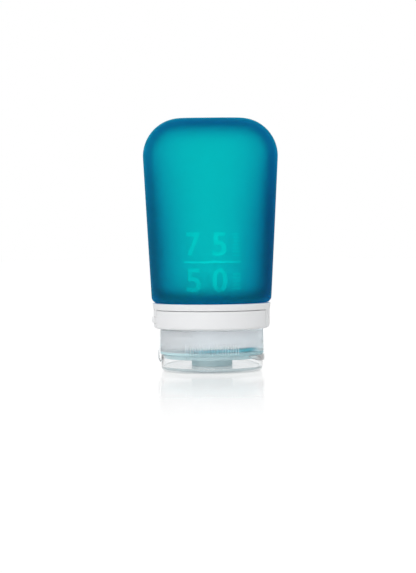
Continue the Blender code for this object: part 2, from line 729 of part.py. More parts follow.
def main():
    """Build every sub-part of the tube."""
    silicone = finish("teal_silicone", (0.0, 0.37, 0.40), 0.45)
    white = finish("white_plastic", (0.83, 0.84, 0.86), 0.4)
    frosted = finish("frosted_plastic", (0.66, 0.70, 0.72), 0.55, alpha=0.7)
    clear = finish("clear_plastic", (0.90, 0.92, 0.93), 0.1, alpha=0.35)
    steel = finish("steel", (0.6, 0.6, 0.6), 0.3, metallic=1.0)
    cap_axis = axis_empty("cap_axis", (0, 0, 0))
    lid_axis = axis_empty("lid_axis", LID_AXIS, cap_axis)
    strap_axis = axis_empty("strap_axis", STRAP_AXIS)
    make_squeeze_body(silicone)
    make_neck_ring(white)
    make_collar_ring(white)
    make_loop_strap(white, strap_axis)
    make_strap_hinge_pin(steel)
    make_screw_cap(frosted, cap_axis)
    make_flip_lid(clear, lid_axis)
    make_slit_valve(silicone, cap_axis)
    make_valve_retainer(white, cap_axis)


clear_scene()
PARTS = new_collection("travel_tube")
CUTTERS = new_collection("cutters")
main()
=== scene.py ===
"""Looks of a squeezable travel tube, modelled round its packed frame.

Lengths are metres, +Z is up, the front is -Y. The tube stands on its closed lid at the origin.
"""
import math

import bmesh
import bpy
from bpy.props import FloatProperty, FloatVectorProperty, IntProperty, PointerProperty, StringProperty
from mathutils import Euler, Matrix, Vector


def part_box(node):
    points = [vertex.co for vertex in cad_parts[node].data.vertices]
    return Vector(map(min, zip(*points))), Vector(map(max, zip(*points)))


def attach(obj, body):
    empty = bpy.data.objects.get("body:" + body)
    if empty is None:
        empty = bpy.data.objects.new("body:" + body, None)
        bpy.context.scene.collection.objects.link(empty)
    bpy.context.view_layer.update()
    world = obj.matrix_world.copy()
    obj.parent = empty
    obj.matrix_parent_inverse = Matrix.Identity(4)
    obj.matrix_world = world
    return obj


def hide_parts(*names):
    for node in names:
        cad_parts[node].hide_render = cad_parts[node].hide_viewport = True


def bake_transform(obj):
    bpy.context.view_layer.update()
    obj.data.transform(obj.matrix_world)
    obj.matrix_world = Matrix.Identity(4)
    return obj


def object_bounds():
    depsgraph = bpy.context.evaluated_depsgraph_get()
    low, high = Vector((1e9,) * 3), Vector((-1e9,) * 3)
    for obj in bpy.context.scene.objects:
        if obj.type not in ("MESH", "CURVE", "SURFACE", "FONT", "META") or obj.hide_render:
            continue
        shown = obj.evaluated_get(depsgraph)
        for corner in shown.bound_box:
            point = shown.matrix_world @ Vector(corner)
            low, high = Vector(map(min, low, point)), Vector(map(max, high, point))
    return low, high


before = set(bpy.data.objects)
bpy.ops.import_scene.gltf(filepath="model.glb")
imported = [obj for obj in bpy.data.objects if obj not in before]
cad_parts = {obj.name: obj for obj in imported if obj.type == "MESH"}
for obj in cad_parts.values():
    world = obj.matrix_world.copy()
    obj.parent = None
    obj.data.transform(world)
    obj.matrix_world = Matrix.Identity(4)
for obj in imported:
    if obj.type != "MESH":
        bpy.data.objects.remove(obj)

bl_info = {
    "name": "Travel Tube",
    "version": (1, 0, 0),
    "blender": (4, 5, 0),
    "location": "3D View > Sidebar > Travel Tube",
    "description": "Builds a silicone travel tube with its collar, strap, cap, lid and valve",
    "category": "Add Mesh",
}

MM = 0.001
FULL_TURN = 2 * math.pi
HAIR = 0.01 * MM  # less than any edge, more than a rounding error
# Degrees past which an edge is shaded sharp.
EDGE_ANGLE, RING_ANGLE, SOFT_ANGLE, THREAD_ANGLE = 32.0, 38.0, 40.0, 50.0
SILICONE_GRAIN, WHITE_GRAIN, FROST_GRAIN = 2600, 3200, 2800  # waves per metre
GRAIN_DEPTH = 0.02 * MM
CAD_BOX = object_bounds()
BODY_LOW, BODY_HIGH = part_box("squeeze_body")
RING_LOW, RING_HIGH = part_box("neck_ring")
COLLAR_LOW, COLLAR_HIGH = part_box("collar_ring")
STRAP_LOW, STRAP_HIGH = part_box("loop_strap")
PIN_LOW, PIN_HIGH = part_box("strap_hinge_pin")
CAP_LOW, CAP_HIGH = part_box("screw_cap")
LID_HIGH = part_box("flip_lid")[1]
VALVE_LOW, VALVE_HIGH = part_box("slit_valve")
KEEPER_LOW, KEEPER_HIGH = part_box("valve_retainer")
PIVOT = ((PIN_LOW.x + PIN_HIGH.x) / 2, 0)


def length(label, description, millimetres):
    """Return a length property whose default is in millimetres."""
    return FloatProperty(name=label, description=description, default=millimetres * MM,
                         precision=5, unit="LENGTH", subtype="DISTANCE")


def colour(label, description, value):
    """Return a colour property."""
    return FloatVectorProperty(name=label, description=description, default=value, size=3,
                               min=0, max=1, subtype="COLOR")


def number(label, description, value):
    """Return a plain number property."""
    return FloatProperty(name=label, description=description, default=value)


def angle(label, description, degrees):
    """Return an angle property whose default is in degrees."""
    return FloatProperty(name=label, description=description, default=math.radians(degrees),
                         subtype="ANGLE", unit="ROTATION")


def count(label, description, value):
    """Return a whole number property."""
    return IntProperty(name=label, description=description, default=value, min=1)


class BottleSettings(bpy.types.PropertyGroup):
    """Sizes and colours of the silicone bottle."""
    front_wall: length("Front Wall", "Thickness of the front and the back in their middle", 1.6)
    side_wall: length("Side Wall", "Thickness of the sides", 3.15)
    end_wall: length("End Wall", "Thickness of the closed end", 3.05)
    end_hollow: length("End Hollow", "Radius inside the closed end's edge", 6.4)
    core_shift: length("Core Shift", "How far the hollow lies to the left", 0.2)
    core_waist: length("Core Waist", "How much thicker the sides are at half the height", 0.55)
    shoulder_wall: length("Shoulder Wall", "Thickness of the shoulder over the collar", 2.6)
    shoulder_fillet: length("Shoulder Edge", "Radius of the shoulder's outer edge", 2.3)
    shoulder_inset: length("Shoulder Inset", "How much narrower the shoulder is than its room", 0.12)
    shoulder_hollow: length("Shoulder Hollow", "Radius inside the shoulder", 4.0)
    shoulder_gap: length("Shoulder Gap", "From the collar's room to the shoulder", -0.04)
    end_depth: length("End Depth", "Depth of the closed end, front to back", 18.6)
    end_corner: length("End Corner", "Radius of the closed end's corners", 14.75)
    end_fillet: length("End Edge", "Radius of the closed end's edge", 7.0)
    neck_wall: length("Neck Wall", "Thickness of the neck", 1.5)
    lip_width: length("Lip Width", "How far the neck's lip turns out", 1.6)
    lip_thickness: length("Lip Thickness", "Thickness of the lip", 1.15)
    squareness: number("End Squareness", "Exponent of the closed end's section, 2 is oval", 3.2)
    squareness_rise: number("Squareness Rise", "How early the section turns square", 0.7)
    inner_squareness: number("Inner Squareness", "Exponent of the hollow's section at the end", 2.8)
    taper_power: number("Taper Power", "Curve of the sides' taper, 1 is straight", 1.1)
    steps: count("Steps", "Points round the bottle", 192)
    tint: colour("Tint", "Colour of light through the silicone", (0.0, 0.955, 0.845))
    # Partly painted sheen: the thick shoulder's bluer tone also stands in for the bluish sheen of the white
    # collar.
    shoulder_and_sheen_tint: colour("Shoulder Tint", "Colour of the thick shoulder", (0.0, 0.74, 1.0))
    # Partly painted light: the sunk marks' lighter tint stands in for the extra light through their thinner
    # wall.
    mark_light_tint: colour("Mark Tint", "Colour of the sunk marks", (0.0, 1.0, 0.9))
    firm_tint: colour("Firm Tint", "Colour of the thick neck, its lip and the valve", (0.0, 0.47, 0.58))
    depth_tint: colour("Depth Tint", "Colour that a long way through leaves", (0.0, 0.625, 0.829))
    density: number("Density", "How strongly the silicone absorbs, per metre", 500.0)
    roughness: number("Roughness", "Roughness of the silicone's skin", 0.92)
    ior: number("IOR", "How much the silicone bends light", 1.15)
    clearness: number("Clearness", "Share of light that passes the silicone's skin", 0.95)
    # Partly painted light: the marks' milkier skin makes them lighter, for light through their thinner wall.
    mark_loss: number("Mark Loss", "Share of light that the sunk marks keep back", 0.07)
    shoulder_loss: number("Shoulder Loss", "Share of light that the thick shoulder keeps back", 0.09)
    # The far left edge is made milkier and so lighter; its wall is not thicker than the right's.
    left_edge_loss: number("Side Loss", "Share of light that the thick left side keeps back", 0.03)


class MarkSettings(bpy.types.PropertyGroup):
    """Numbers and ticks sunk into the bottle's front."""
    upper: StringProperty(name="Upper Number", description="Number above the rule", default="75")
    lower: StringProperty(name="Lower Number", description="Number below the rule", default="50")
    height: length("Height", "Height of a digit", 9.0)
    width: length("Width", "Width of a digit", 5.4)
    first_left: length("First Digit", "Left side of the first digits", -9.4)
    second_left: length("Second Digit", "Left side of the second digits", 0.4)
    upper_foot: length("Upper Foot", "Height of the upper number's foot", 44.1)
    lower_foot: length("Lower Foot", "Height of the lower number's foot", 30.6)
    rule_height: length("Rule", "Height of the rule between the numbers", 41.9)
    rule_left: length("Rule Left", "Left end of the rule", -10.3)
    rule_right: length("Rule Right", "Right end of the rule", 10.9)
    rule_width: length("Rule Width", "Thickness of the rule", 0.7)
    tick_left: length("Tick Left", "Left end of the ticks", 7.9)
    tick_pitch: length("Tick Pitch", "Distance from one tick to the next", 1.35)
    tick_width: length("Tick Width", "Thickness of a tick", 0.42)
    ticks_upper: count("Upper Ticks", "Ticks beside the upper number", 7)
    ticks_lower: count("Lower Ticks", "Ticks beside the lower number", 5)
    depth: length("Depth", "How deep the digits are sunk", 0.95)
    line_depth: length("Line Depth", "How deep rule and ticks are sunk", 0.35)
    # Partly painted light: rule and ticks are whitened, standing in for light through their thinner wall.
    line_share: number("Line Share", "How strongly rule and ticks are whitened, where digits are 1", 3.2)


class CollarSettings(bpy.types.PropertyGroup):
    """Sizes and colours of the white rings and the strap."""
    core: length("Core Radius", "Outside of the collar's inner wall", 19.3)
    bore: length("Bore Radius", "Inside of the collar", 18.3)
    flange_top: length("Flange Top", "From the collar's room to the flange's top", 0.1)
    flange_height: length("Flange Height", "From the collar's room to the flange's foot", 2.6)
    flange_flare: length("Flange Flare", "How much wider the flange's top is than the collar's room", 0.3)
    flange_taper: length("Flange Taper", "How much narrower the flange's foot is", 0.35)
    outer: length("Outer Radius", "Outside of the collar's back", 22.32)
    foot_round: length("Foot Round", "Radius of the lower outer edge", 2.6)
    edge: length("Edge", "Radius of the other edges", 0.28)
    ear_start: angle("Ear Start", "Where the hinge's notch starts", 172.0)
    ear_end: angle("Ear End", "Where the ears end", 196.4)
    catch: angle("Catch", "Where the catch meets the strap's end", 338.2)
    strap_start: angle("Strap Start", "Where the strap's band starts", 198.6)
    strap_end: angle("Strap End", "Where the strap ends", 337.0)
    strap_inner: length("Strap Inside", "Inner radius of the strap", 19.6)
    strap_round: length("Strap Round", "Radius of the strap's lower edge", 1.75)
    strap_rise: length("Strap Rise", "How far the strap's top lies above its room", -0.2)
    notch_low: length("Notch Foot", "Foot of the knuckle's notch above the collar's foot", 1.9)
    knuckle: length("Knuckle", "Radius of the strap's knuckle", 2.05)
    knuckle_height: length("Knuckle Height", "Height of the knuckle", 2.5)
    gap: length("Gap", "Running gap round the pin and the bottle's neck", 0.3)
    knuckle_gap: length("Knuckle Gap", "Gap over and under the knuckle", 0.1)
    knuckle_round: length("Knuckle Round", "Radius of the knuckle's edges", 0.75)
    neck_bore: length("Neck Bore", "Bore of the threaded ring", 15.6)
    thread_root: length("Thread Root", "Radius under the thread", 16.8)
    thread_depth: length("Thread Depth", "Height of the thread", 0.75)
    thread_pitch: length("Thread Pitch", "Rise in one turn", 4.0)
    thread_rise: length("Thread Rise", "Rise of the whole thread", 5.0)
    thread_foot: length("Thread Foot", "Width of the thread at its foot", 1.6)
    thread_crest: length("Thread Crest", "Width of the thread at its crest", 0.7)
    ring_drop: length("Ring Drop", "How far the ring comes down to the lip", 0.35)
    run_out: length("Run-Out", "How far the ring's foot drops to the left and rises to the right", 0.3)
    thread_margin: length("Thread Margin", "From the ring's foot to the thread", 0.9)
    seat: length("Seat Radius", "Radius of the ring's upper part", 18.0)
    steps: count("Steps", "Points round a ring", 192)
    white: colour("White", "Colour of the white plastic", (0.85, 0.855, 0.865))


class CapSettings(bpy.types.PropertyGroup):
    """Sizes and colours of the frosted cap, the clear lid and the valve."""
    radius: length("Radius", "Outside of the cap at its top", 19.75)
    flare: length("Flare", "How much wider the skirt is at its foot", 0.1)
    bore: length("Bore", "Inside of the cap", 18.25)
    edge: length("Edge", "Radius of the cap's edges", 0.35)
    thread_depth: length("Thread Depth", "Height of the cap's thread", 0.55)
    deck: length("Deck", "Thickness of the deck", 1.2)
    deck_drop: length("Deck Drop", "How far the deck lies below the skirt", 0.5)
    seat_depth: length("Seat Depth", "Depth of the ring that the lid closes on", 1.7)
    seat_radius: length("Seat Radius", "Outside of that ring", 18.6)
    seat_wall: length("Seat Wall", "Wall of that ring", 1.0)
    spout_radius: length("Spout Radius", "Outside of the spout", 7.85)
    spout_wall: length("Spout Wall", "Wall of the spout", 1.0)
    spout_end: length("Spout End", "Wall of the spout's end", 0.8)
    orifice: length("Orifice", "Radius of the spout's hole", 3.2)
    seam: length("Seam", "Gap between lid and cap", 0.3)
    lid_radius: length("Lid Radius", "Outside of the lid", 19.5)
    lid_taper: length("Lid Taper", "How much narrower the lid is at its face", 0.1)
    lid_rim: length("Lid Rim", "Inside of the lid's rim", 18.95)
    lid_bore: length("Lid Bore", "Inside of the lid at its face", 18.75)
    lid_plate: length("Lid Plate", "Thickness of the lid's face", 1.7)
    lid_corner: length("Lid Corner", "Size of the lid's outer corner", 1.8)
    spout_foot: length("Spout Foot", "Height of the spout's end over the lid's outside", 1.82)
    lid_hollow: length("Lid Hollow", "Radius inside that corner", 0.25)
    plug_radius: length("Plug Radius", "Radius of the plug", 2.6)
    plug_height: length("Plug Height", "Height of the plug", 1.4)
    lip_reach: length("Thumb Lip", "How far the thumb lip stands out", 0.7)
    lip_height: length("Thumb Lip Height", "Height of the thumb lip", 2.9)
    lip_angle: angle("Thumb Lip Angle", "Half of the thumb lip's arc", 45.0)
    hinge_width: length("Hinge Width", "Width of the bent strip", 6.0)
    hinge_half: length("Hinge Half Height", "From the seam to the strip's end", 3.0)
    hinge_reach: length("Hinge Reach", "How far the strip stands out past the cap's room", 0.15)
    hinge_strip: length("Hinge Strip", "Thickness of the bent strip", 0.55)
    rib_count: count("Ribs", "Ribs in one grip", 21)
    rib_pitch: length("Rib Pitch", "Distance from one rib to the next", 1.03)
    rib_proud: length("Rib Height", "How far a rib stands out", 0.24)
    rib_low: length("Rib Foot", "Foot of the cap's ribs above the lid's face", 6.6)
    rib_high: length("Rib Top", "Top of the cap's ribs above the lid's face", 11.5)
    # Partly painted highlight: the cap's ribs are whitened to stand in for light catching them, least in the
    # cap's middle.
    rib_loss: number("Rib Loss", "Share of light that the cap's ribs keep back", 0.3)
    rib_fade: length("Rib Fade", "Where the ribs are fully whitened, from the cap's middle", 7.0)
    lid_rib_proud: length("Lid Rib Height", "How far a rib stands out of the lid", 0.1)
    lid_rib_low: length("Lid Rib Foot", "Foot of the lid's ribs above its face", 5.1)
    lid_rib_high: length("Lid Rib Top", "Top of the lid's ribs above its face", 6.3)
    steps: count("Steps", "Points round a ring", 192)
    frost: colour("Frost", "Colour of the frosted plastic", (0.94, 0.955, 0.97))
    frost_depth: colour("Frost Depth", "Colour that a long way through leaves", (0.0, 0.7, 0.85))
    frost_density: number("Frost Density", "How strongly the frosted plastic absorbs, per metre", 8.0)
    frost_ior: number("Frost IOR", "How much the frosted plastic bends light", 1.15)
    frost_clearness: number("Frost Clearness", "Share of light that passes its skin", 0.96)
    # Partly painted light: the deck and spout are tinted teal, standing in for the glow of the teal silicone
    # inside.
    foot_valve_glow: colour("Frost Foot", "Colour of the deck and what hangs below it", (0.72, 0.96, 1.0))
    hinge: colour("Hinge", "Colour of the bent strip", (0.95, 0.97, 0.98))
    clear: colour("Clear", "Colour of the clear plastic", (0.965, 0.97, 0.975))
    grip_loss: number("Grip Loss", "Share of light that the matt thumb lip keeps back", 0.32)
    corner_share: number("Corner Share", "How matt the lid's corner is, where the thumb lip is 1", 0.8)
    clear_depth: colour("Clear Depth", "Colour that a long way through leaves", (0.0, 0.35, 0.42))
    clear_density: number("Clear Density", "How strongly the clear plastic absorbs, per metre", 24.0)


class StageSettings(bpy.types.PropertyGroup):
    """Camera, lamps, floor and world."""
    distance: length("Distance", "From the camera to the tube's axis", 600.0)
    height: length("Height", "Height of the camera", 48.0)
    aside: length("Aside", "How far the camera stands to the left", 1.32)
    roll: angle("Roll", "How far the camera leans to the right", 0.49)
    tilt: angle("Tilt", "How far the camera looks down", 1.5)
    lens: number("Lens", "Focal length in millimetres", 97.9)
    floor_size: length("Floor Size", "Side of the floor", 9000.0)
    front_power: number("Front Power", "Power of the soft box at the camera, in watts", 3.75)
    side_power: number("Side Power", "Power of the soft boxes at the sides, in watts", 0.9)
    ambient: number("Ambient", "Strength of the room's own light", 0.6)


SETTINGS = {
    "tube_bottle": BottleSettings,
    "tube_marks": MarkSettings,
    "tube_collar": CollarSettings,
    "tube_cap": CapSettings,
    "tube_stage": StageSettings,
}


def link(obj):
    """Put an object in the scene and return it."""
    bpy.context.scene.collection.objects.link(obj)
    return obj


def finish_mesh(name, shape, sharp=EDGE_ANGLE):
    """Turn a bmesh into a mesh with outward faces, smooth between its sharp edges."""
    bmesh.ops.recalc_face_normals(shape, faces=shape.faces)
    mesh = bpy.data.meshes.new(name)
    shape.to_mesh(mesh)
    shape.free()
    soften(mesh, sharp)
    return mesh


def soften(mesh, sharp=EDGE_ANGLE):
    """Shade a mesh smooth, with its edges sharp past an angle in degrees."""
    mesh.shade_smooth()
    mesh.set_sharp_from_angle(angle=math.radians(sharp))


def add_piece(name, mesh, *materials):
    """Return an object in the scene, with these materials in its slots."""
    mesh.name = name
    mesh.materials.clear()
    for material in materials:
        mesh.materials.append(material)
    return link(bpy.data.objects.new(name, mesh))


def settle(piece, body, node):
    """Make a piece ride on a body instead of a CAD node."""
    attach(piece, body)
    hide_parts(node)


def rounded(corners, steps=5):
    """Return an outline whose corners, each (x, y, radius), are eased into curves.

    One corner's curve takes less than half of a side.
    """
    longest = 0.49
    points = []
    for index, (x, y, radius) in enumerate(corners):
        if radius == 0:
            points.append((x, y))
            continue
        corner = Vector((x, y))
        before = Vector(corners[index - 1][:2]) - corner
        after = Vector(corners[(index + 1) % len(corners)][:2]) - corner
        bend = before.angle(after)
        reach = min(radius / math.tan(bend / 2), before.length * longest, after.length * longest)
        start = corner + before.normalized() * reach
        end = corner + after.normalized() * reach
        for step in range(steps + 1):
            share = step / steps
            point = start * (1 - share) ** 2 + corner * 2 * share * (1 - share) + end * share ** 2
            points.append((point.x, point.y))
    return points


def four_sided(first, second, radii, steps):
    """Return a rounded rectangle, from its first corner to the height of the second, and then across."""
    (x, y), (across, down) = first, second
    corners = ((x, y), (x, down), (across, down), (across, y))
    return rounded([(*corner, radius) for corner, radius in zip(corners, radii)], steps)


def turned(section, turn, rise=0.0):
    """Return a (radius, height) section as points at an angle round Z, raised by a height."""
    return [(radius * math.cos(turn), radius * math.sin(turn), height + rise) for radius, height in section]


def revolve(name, profile, steps, closed=True, sharp=EDGE_ANGLE):
    """Turn a (radius, height) profile round Z; an open profile starts and ends on the axis."""
    shape = bmesh.new()
    rings = []
    for radius, height in profile:
        spots = [(0, 0, height)]
        if radius > MM / 1000:
            spots = [turned([(radius, height)], FULL_TURN * index / steps)[0] for index in range(steps)]
        rings.append([shape.verts.new(spot) for spot in spots])
    pairs = list(zip(rings, rings[1:]))
    if closed:
        pairs.append((rings[-1], rings[0]))
    for upper, lower in pairs:
        join_rings(shape, upper, lower)
    return finish_mesh(name, shape, sharp)


def join_rings(shape, upper, lower):
    """Join two rings of vertices; a ring of one vertex is a pole."""
    steps = max(len(upper), len(lower))
    for index in range(steps):
        after = (index + 1) % steps
        corners = [upper[index % len(upper)], upper[after % len(upper)],
                   lower[after % len(lower)], lower[index % len(lower)]]
        unique = list(dict.fromkeys(corners))
        if len(unique) > 2:
            shape.faces.new(unique)


def loft(name, rings, sharp=EDGE_ANGLE):
    """Join rings of points of equal counts, and close both ends with a face."""
    shape = bmesh.new()
    loops = [[shape.verts.new(point) for point in ring] for ring in rings]
    for upper, lower in zip(loops, loops[1:]):
        join_rings(shape, upper, lower)
    shape.faces.new(loops[0])
    shape.faces.new(loops[-1])
    return finish_mesh(name, shape, sharp)


def band(name, section, start, end, steps, ease):
    """Sweep a section of (radius, height) points round Z between two angles, with eased ends."""
    ease_steps = 4
    radii = [point[0] for point in section]
    heights = [point[1] for point in section]
    middle = Vector(((min(radii) + max(radii)) / 2, (min(heights) + max(heights)) / 2))
    half = min(max(radii) - min(radii), max(heights) - min(heights)) / 2
    ease_turn = ease / middle.x
    shares = [step / ease_steps for step in range(ease_steps)]
    angles = [(start + ease_turn * (1 - math.cos(math.pi / 2 * share)), share) for share in shares]
    inner = max(2, round(steps * (end - start) / FULL_TURN))
    for index in range(inner + 1):
        angles.append((start + ease_turn + (end - start - 2 * ease_turn) * index / inner, 1))
    angles += [(end - (turn - start), share) for turn, share in reversed(angles[:ease_steps])]
    rings = []
    for turn, share in angles:
        scale = 1 - ease * (1 - math.sin(math.pi / 2 * share)) / half
        drawn = [(middle.x + (radius - middle.x) * scale, middle.y + (height - middle.y) * scale)
                 for radius, height in section]
        rings.append(turned(drawn, turn))
    return loft(name, rings, SOFT_ANGLE)


def prism(name, outline, low, high):
    """Raise a flat (x, y) outline from one height to another."""
    rings = [[(x, y, z) for x, y in outline] for z in (low, high)]
    return loft(name, rings)


def sector(inner, outer, start, end, steps):
    """Return the outline of a ring's sector."""
    pieces = max(2, round(steps * (end - start) / FULL_TURN))
    turns = [start + (end - start) * index / pieces for index in range(pieces + 1)]
    near = [(inner * math.cos(turn), inner * math.sin(turn)) for turn in turns]
    far = [(outer * math.cos(turn), outer * math.sin(turn)) for turn in reversed(turns)]
    return near + far


def disc(name, radius, low, high, steps=48):
    """Return an upright cylinder on the axis of the strap's hinge."""
    shape = bmesh.new()
    bmesh.ops.create_cone(shape, cap_ends=True, segments=steps, radius1=radius,
                          radius2=radius, depth=high - low)
    bmesh.ops.translate(shape, vec=(*PIVOT, (low + high) / 2), verts=shape.verts)
    return finish_mesh(name, shape)


def stub(name, radius, low, high, edge, steps, edge_steps):
    """Return an upright pin with round edges on the axis of the strap's hinge."""
    profile = rounded([(0, high, 0), (radius, high, edge), (radius, low, edge), (0, low, 0)], edge_steps)
    mesh = revolve(name, profile, steps, closed=False)
    for vertex in mesh.vertices:
        vertex.co.x += PIVOT[0]
    return mesh


def shape_with(mesh, *steps, sharp=EDGE_ANGLE):
    """Return the mesh after Booleans with other meshes, each given as (operation, mesh)."""
    target = link(bpy.data.objects.new("shaping", mesh))
    helpers = []
    for operation, other in steps:
        helper = link(bpy.data.objects.new("helper", other))
        helpers.append(helper)
        modifier = target.modifiers.new("Shape", "BOOLEAN")
        modifier.operation = operation
        modifier.solver = "EXACT"
        modifier.material_mode = "TRANSFER"
        modifier.object = helper
    graph = bpy.context.evaluated_depsgraph_get()
    result = bpy.data.meshes.new_from_object(target.evaluated_get(graph))
    for helper in helpers + [target]:
        bpy.data.objects.remove(helper, do_unlink=True)
    soften(result, sharp)
    return result


def feed(tree, node, inputs):
    """Link a node's inputs from sockets, or set them to values."""
    for key, value in inputs.items():
        if isinstance(value, bpy.types.NodeSocket):
            tree.links.new(value, node.inputs[key])
        else:
            node.inputs[key].default_value = value


def add_node(tree, kind, inputs=None, **traits):
    """Return a new node with its traits set and its inputs linked or set."""
    node = tree.nodes.new(kind)
    for trait, value in traits.items():
        setattr(node, trait, value)
    feed(tree, node, inputs or {})
    return node


def calculate(tree, operation, *values, **traits):
    """Return the result of a Math node on values or sockets."""
    inputs = dict(enumerate(values))
    return add_node(tree, "ShaderNodeMath", inputs, operation=operation, **traits).outputs["Value"]


def new_material(name):
    """Return a node material with its tree, shader and output."""
    material = bpy.data.materials.new(name)
    material.use_nodes = True
    tree = material.node_tree
    return material, tree, tree.nodes["Principled BSDF"], tree.nodes["Material Output"]


def object_place(tree):
    """Return the object's own coordinates."""
    return add_node(tree, "ShaderNodeTexCoord").outputs["Object"]


def object_parts(tree):
    """Return the X, Y and Z of the object's own coordinates."""
    return add_node(tree, "ShaderNodeSeparateXYZ", {"Vector": object_place(tree)}).outputs


def object_noise(tree, scale, detail=3.0, stretch=(1, 1, 1)):
    """Return a noise on the object's own coordinates, with its scale in waves per metre."""
    mapping = add_node(tree, "ShaderNodeMapping", {"Vector": object_place(tree), "Scale": stretch})
    inputs = {"Vector": mapping.outputs["Vector"], "Scale": scale, "Detail": detail}
    return add_node(tree, "ShaderNodeTexNoise", inputs).outputs["Fac"]


def noted_share(tree, name):
    """Return the share that a mesh notes for each of its faces under a name."""
    return add_node(tree, "ShaderNodeAttribute", attribute_name=name).outputs["Fac"]


def span(tree, source, low, high):
    """Return a 0 to 1 value spread between two numbers."""
    inputs = {"Value": source, "To Min": low, "To Max": high}
    return add_node(tree, "ShaderNodeMapRange", inputs).outputs["Result"]


def step_between(tree, source, start, end):
    """Return a share that rises from 0 to 1 as a value goes from start to end."""
    inputs = {"Value": source, "From Min": start, "From Max": end}
    return add_node(tree, "ShaderNodeMapRange", inputs).outputs["Result"]


def blend(tree, share, first, second):
    """Return a colour that turns from one tone to another as a share rises to 1."""
    tones = [tone if isinstance(tone, bpy.types.NodeSocket) else (*tone, 1) for tone in (first, second)]
    inputs = {"Factor": share, "A": tones[0], "B": tones[1]}
    return add_node(tree, "ShaderNodeMix", inputs, data_type="RGBA").outputs["Result"]


def clouded(tree, clouds, tone, darkest):
    """Return a tone that clouds darken, down to a share of it."""
    return blend(tree, clouds, Vector(tone) * darkest, tone)


def less(tree, value, *losses):
    """Return a value made less by each loss, given as (share, loss), where its share is 1."""
    for share, loss in losses:
        value = calculate(tree, "MULTIPLY_ADD", share, -loss, value)
    return value


def dress(tree, shader, tone, grain, rough, depth=GRAIN_DEPTH, strength=0.3):
    """Give a shader its colour, its roughness and a grain of a real depth in metres."""
    bump = add_node(tree, "ShaderNodeBump", {"Height": grain, "Distance": depth, "Strength": strength})
    feed(tree, shader, {"Base Color": tone, "Roughness": rough, "Normal": bump.outputs["Normal"]})


def absorb(tree, output, tint, density):
    """Make a material's inside absorb light, with a tint and a density per metre."""
    depth = add_node(tree, "ShaderNodeVolumeAbsorption", {"Color": (*tint, 1), "Density": density})
    feed(tree, output, {"Volume": depth.outputs["Volume"]})


def mix_shaders(tree, share, first, second):
    """Return a shader that turns from one to another as a share rises to 1."""
    return add_node(tree, "ShaderNodeMixShader", {0: share, 1: first, 2: second}).outputs["Shader"]


def seen_share(tree):
    """Return a share that is 1 for rays from the camera, in gloss and through glass, and else 0."""
    path = add_node(tree, "ShaderNodeLightPath").outputs
    total = path["Is Camera Ray"]
    for kind in ("Is Glossy Ray", "Is Transmission Ray"):
        total = calculate(tree, "ADD", total, path[kind], use_clamp=True)
    return total


def silicone_material(settings):
    """Matt silicone that light passes through: darker and bluer the longer its way in the wall."""
    material, tree, shader, output = new_material("silicone")
    shader.distribution = "MULTI_GGX"
    foot = COLLAR_HIGH.z + settings.shoulder_gap
    shoulder_top, shoulder_foot = foot + 3.6 * MM, foot + 1 * MM
    left_start, left_end = -19 * MM, -22.5 * MM
    unevenness = 0.06
    place = object_parts(tree)
    shoulder = step_between(tree, place["Z"], shoulder_top, shoulder_foot)
    # The far left edge is made milkier and so lighter.
    left = step_between(tree, place["X"], left_start, left_end)
    mark = noted_share(tree, "mark")
    tone = clouded(tree, object_noise(tree, 45, detail=4.0, stretch=(1, 1, 0.4)), settings.tint, 0.97)
    # The sunk marks are lighter and milkier, partly as painted light through their thinner wall.
    tone = blend(tree, mark, tone, settings.mark_light_tint)
    # The thick shoulder is bluer, partly as a painted sheen of the white collar.
    tone = blend(tree, shoulder, tone, settings.shoulder_and_sheen_tint)
    grain = object_noise(tree, SILICONE_GRAIN, detail=2.0)
    rough = span(tree, grain, settings.roughness - unevenness, settings.roughness + unevenness)
    dress(tree, shader, tone, grain, rough, strength=0.35)
    passing = less(tree, settings.clearness, (mark, settings.mark_loss),
                   (shoulder, settings.shoulder_loss), (left, settings.left_edge_loss))
    feed(tree, shader, {"Transmission Weight": passing, "IOR": settings.ior})
    absorb(tree, output, settings.depth_tint, settings.density)
    return material


def firm_silicone_material(settings):
    """Thick silicone of the neck and the valve, which lets no shape through."""
    material, tree, shader, _ = new_material("firm_silicone")
    tone = clouded(tree, object_noise(tree, 160), settings.firm_tint, 0.93)
    grain = object_noise(tree, SILICONE_GRAIN, detail=2.0)
    dress(tree, shader, tone, grain, span(tree, grain, 0.55, 0.7), strength=0.35)
    return material


def white_material(settings):
    """Satin white moulding with a faint grain."""
    material, tree, shader, _ = new_material("white_moulding")
    tone = clouded(tree, object_noise(tree, 60), settings.white, 0.975)
    grain = object_noise(tree, WHITE_GRAIN, detail=2.0)
    dress(tree, shader, tone, grain, span(tree, grain, 0.36, 0.5), depth=0.015 * MM)
    reach = 0.6 * MM
    feed(tree, shader, {"Subsurface Weight": 0.15, "Subsurface Radius": (reach, reach, reach),
                        "Subsurface Scale": 1.0})
    return material


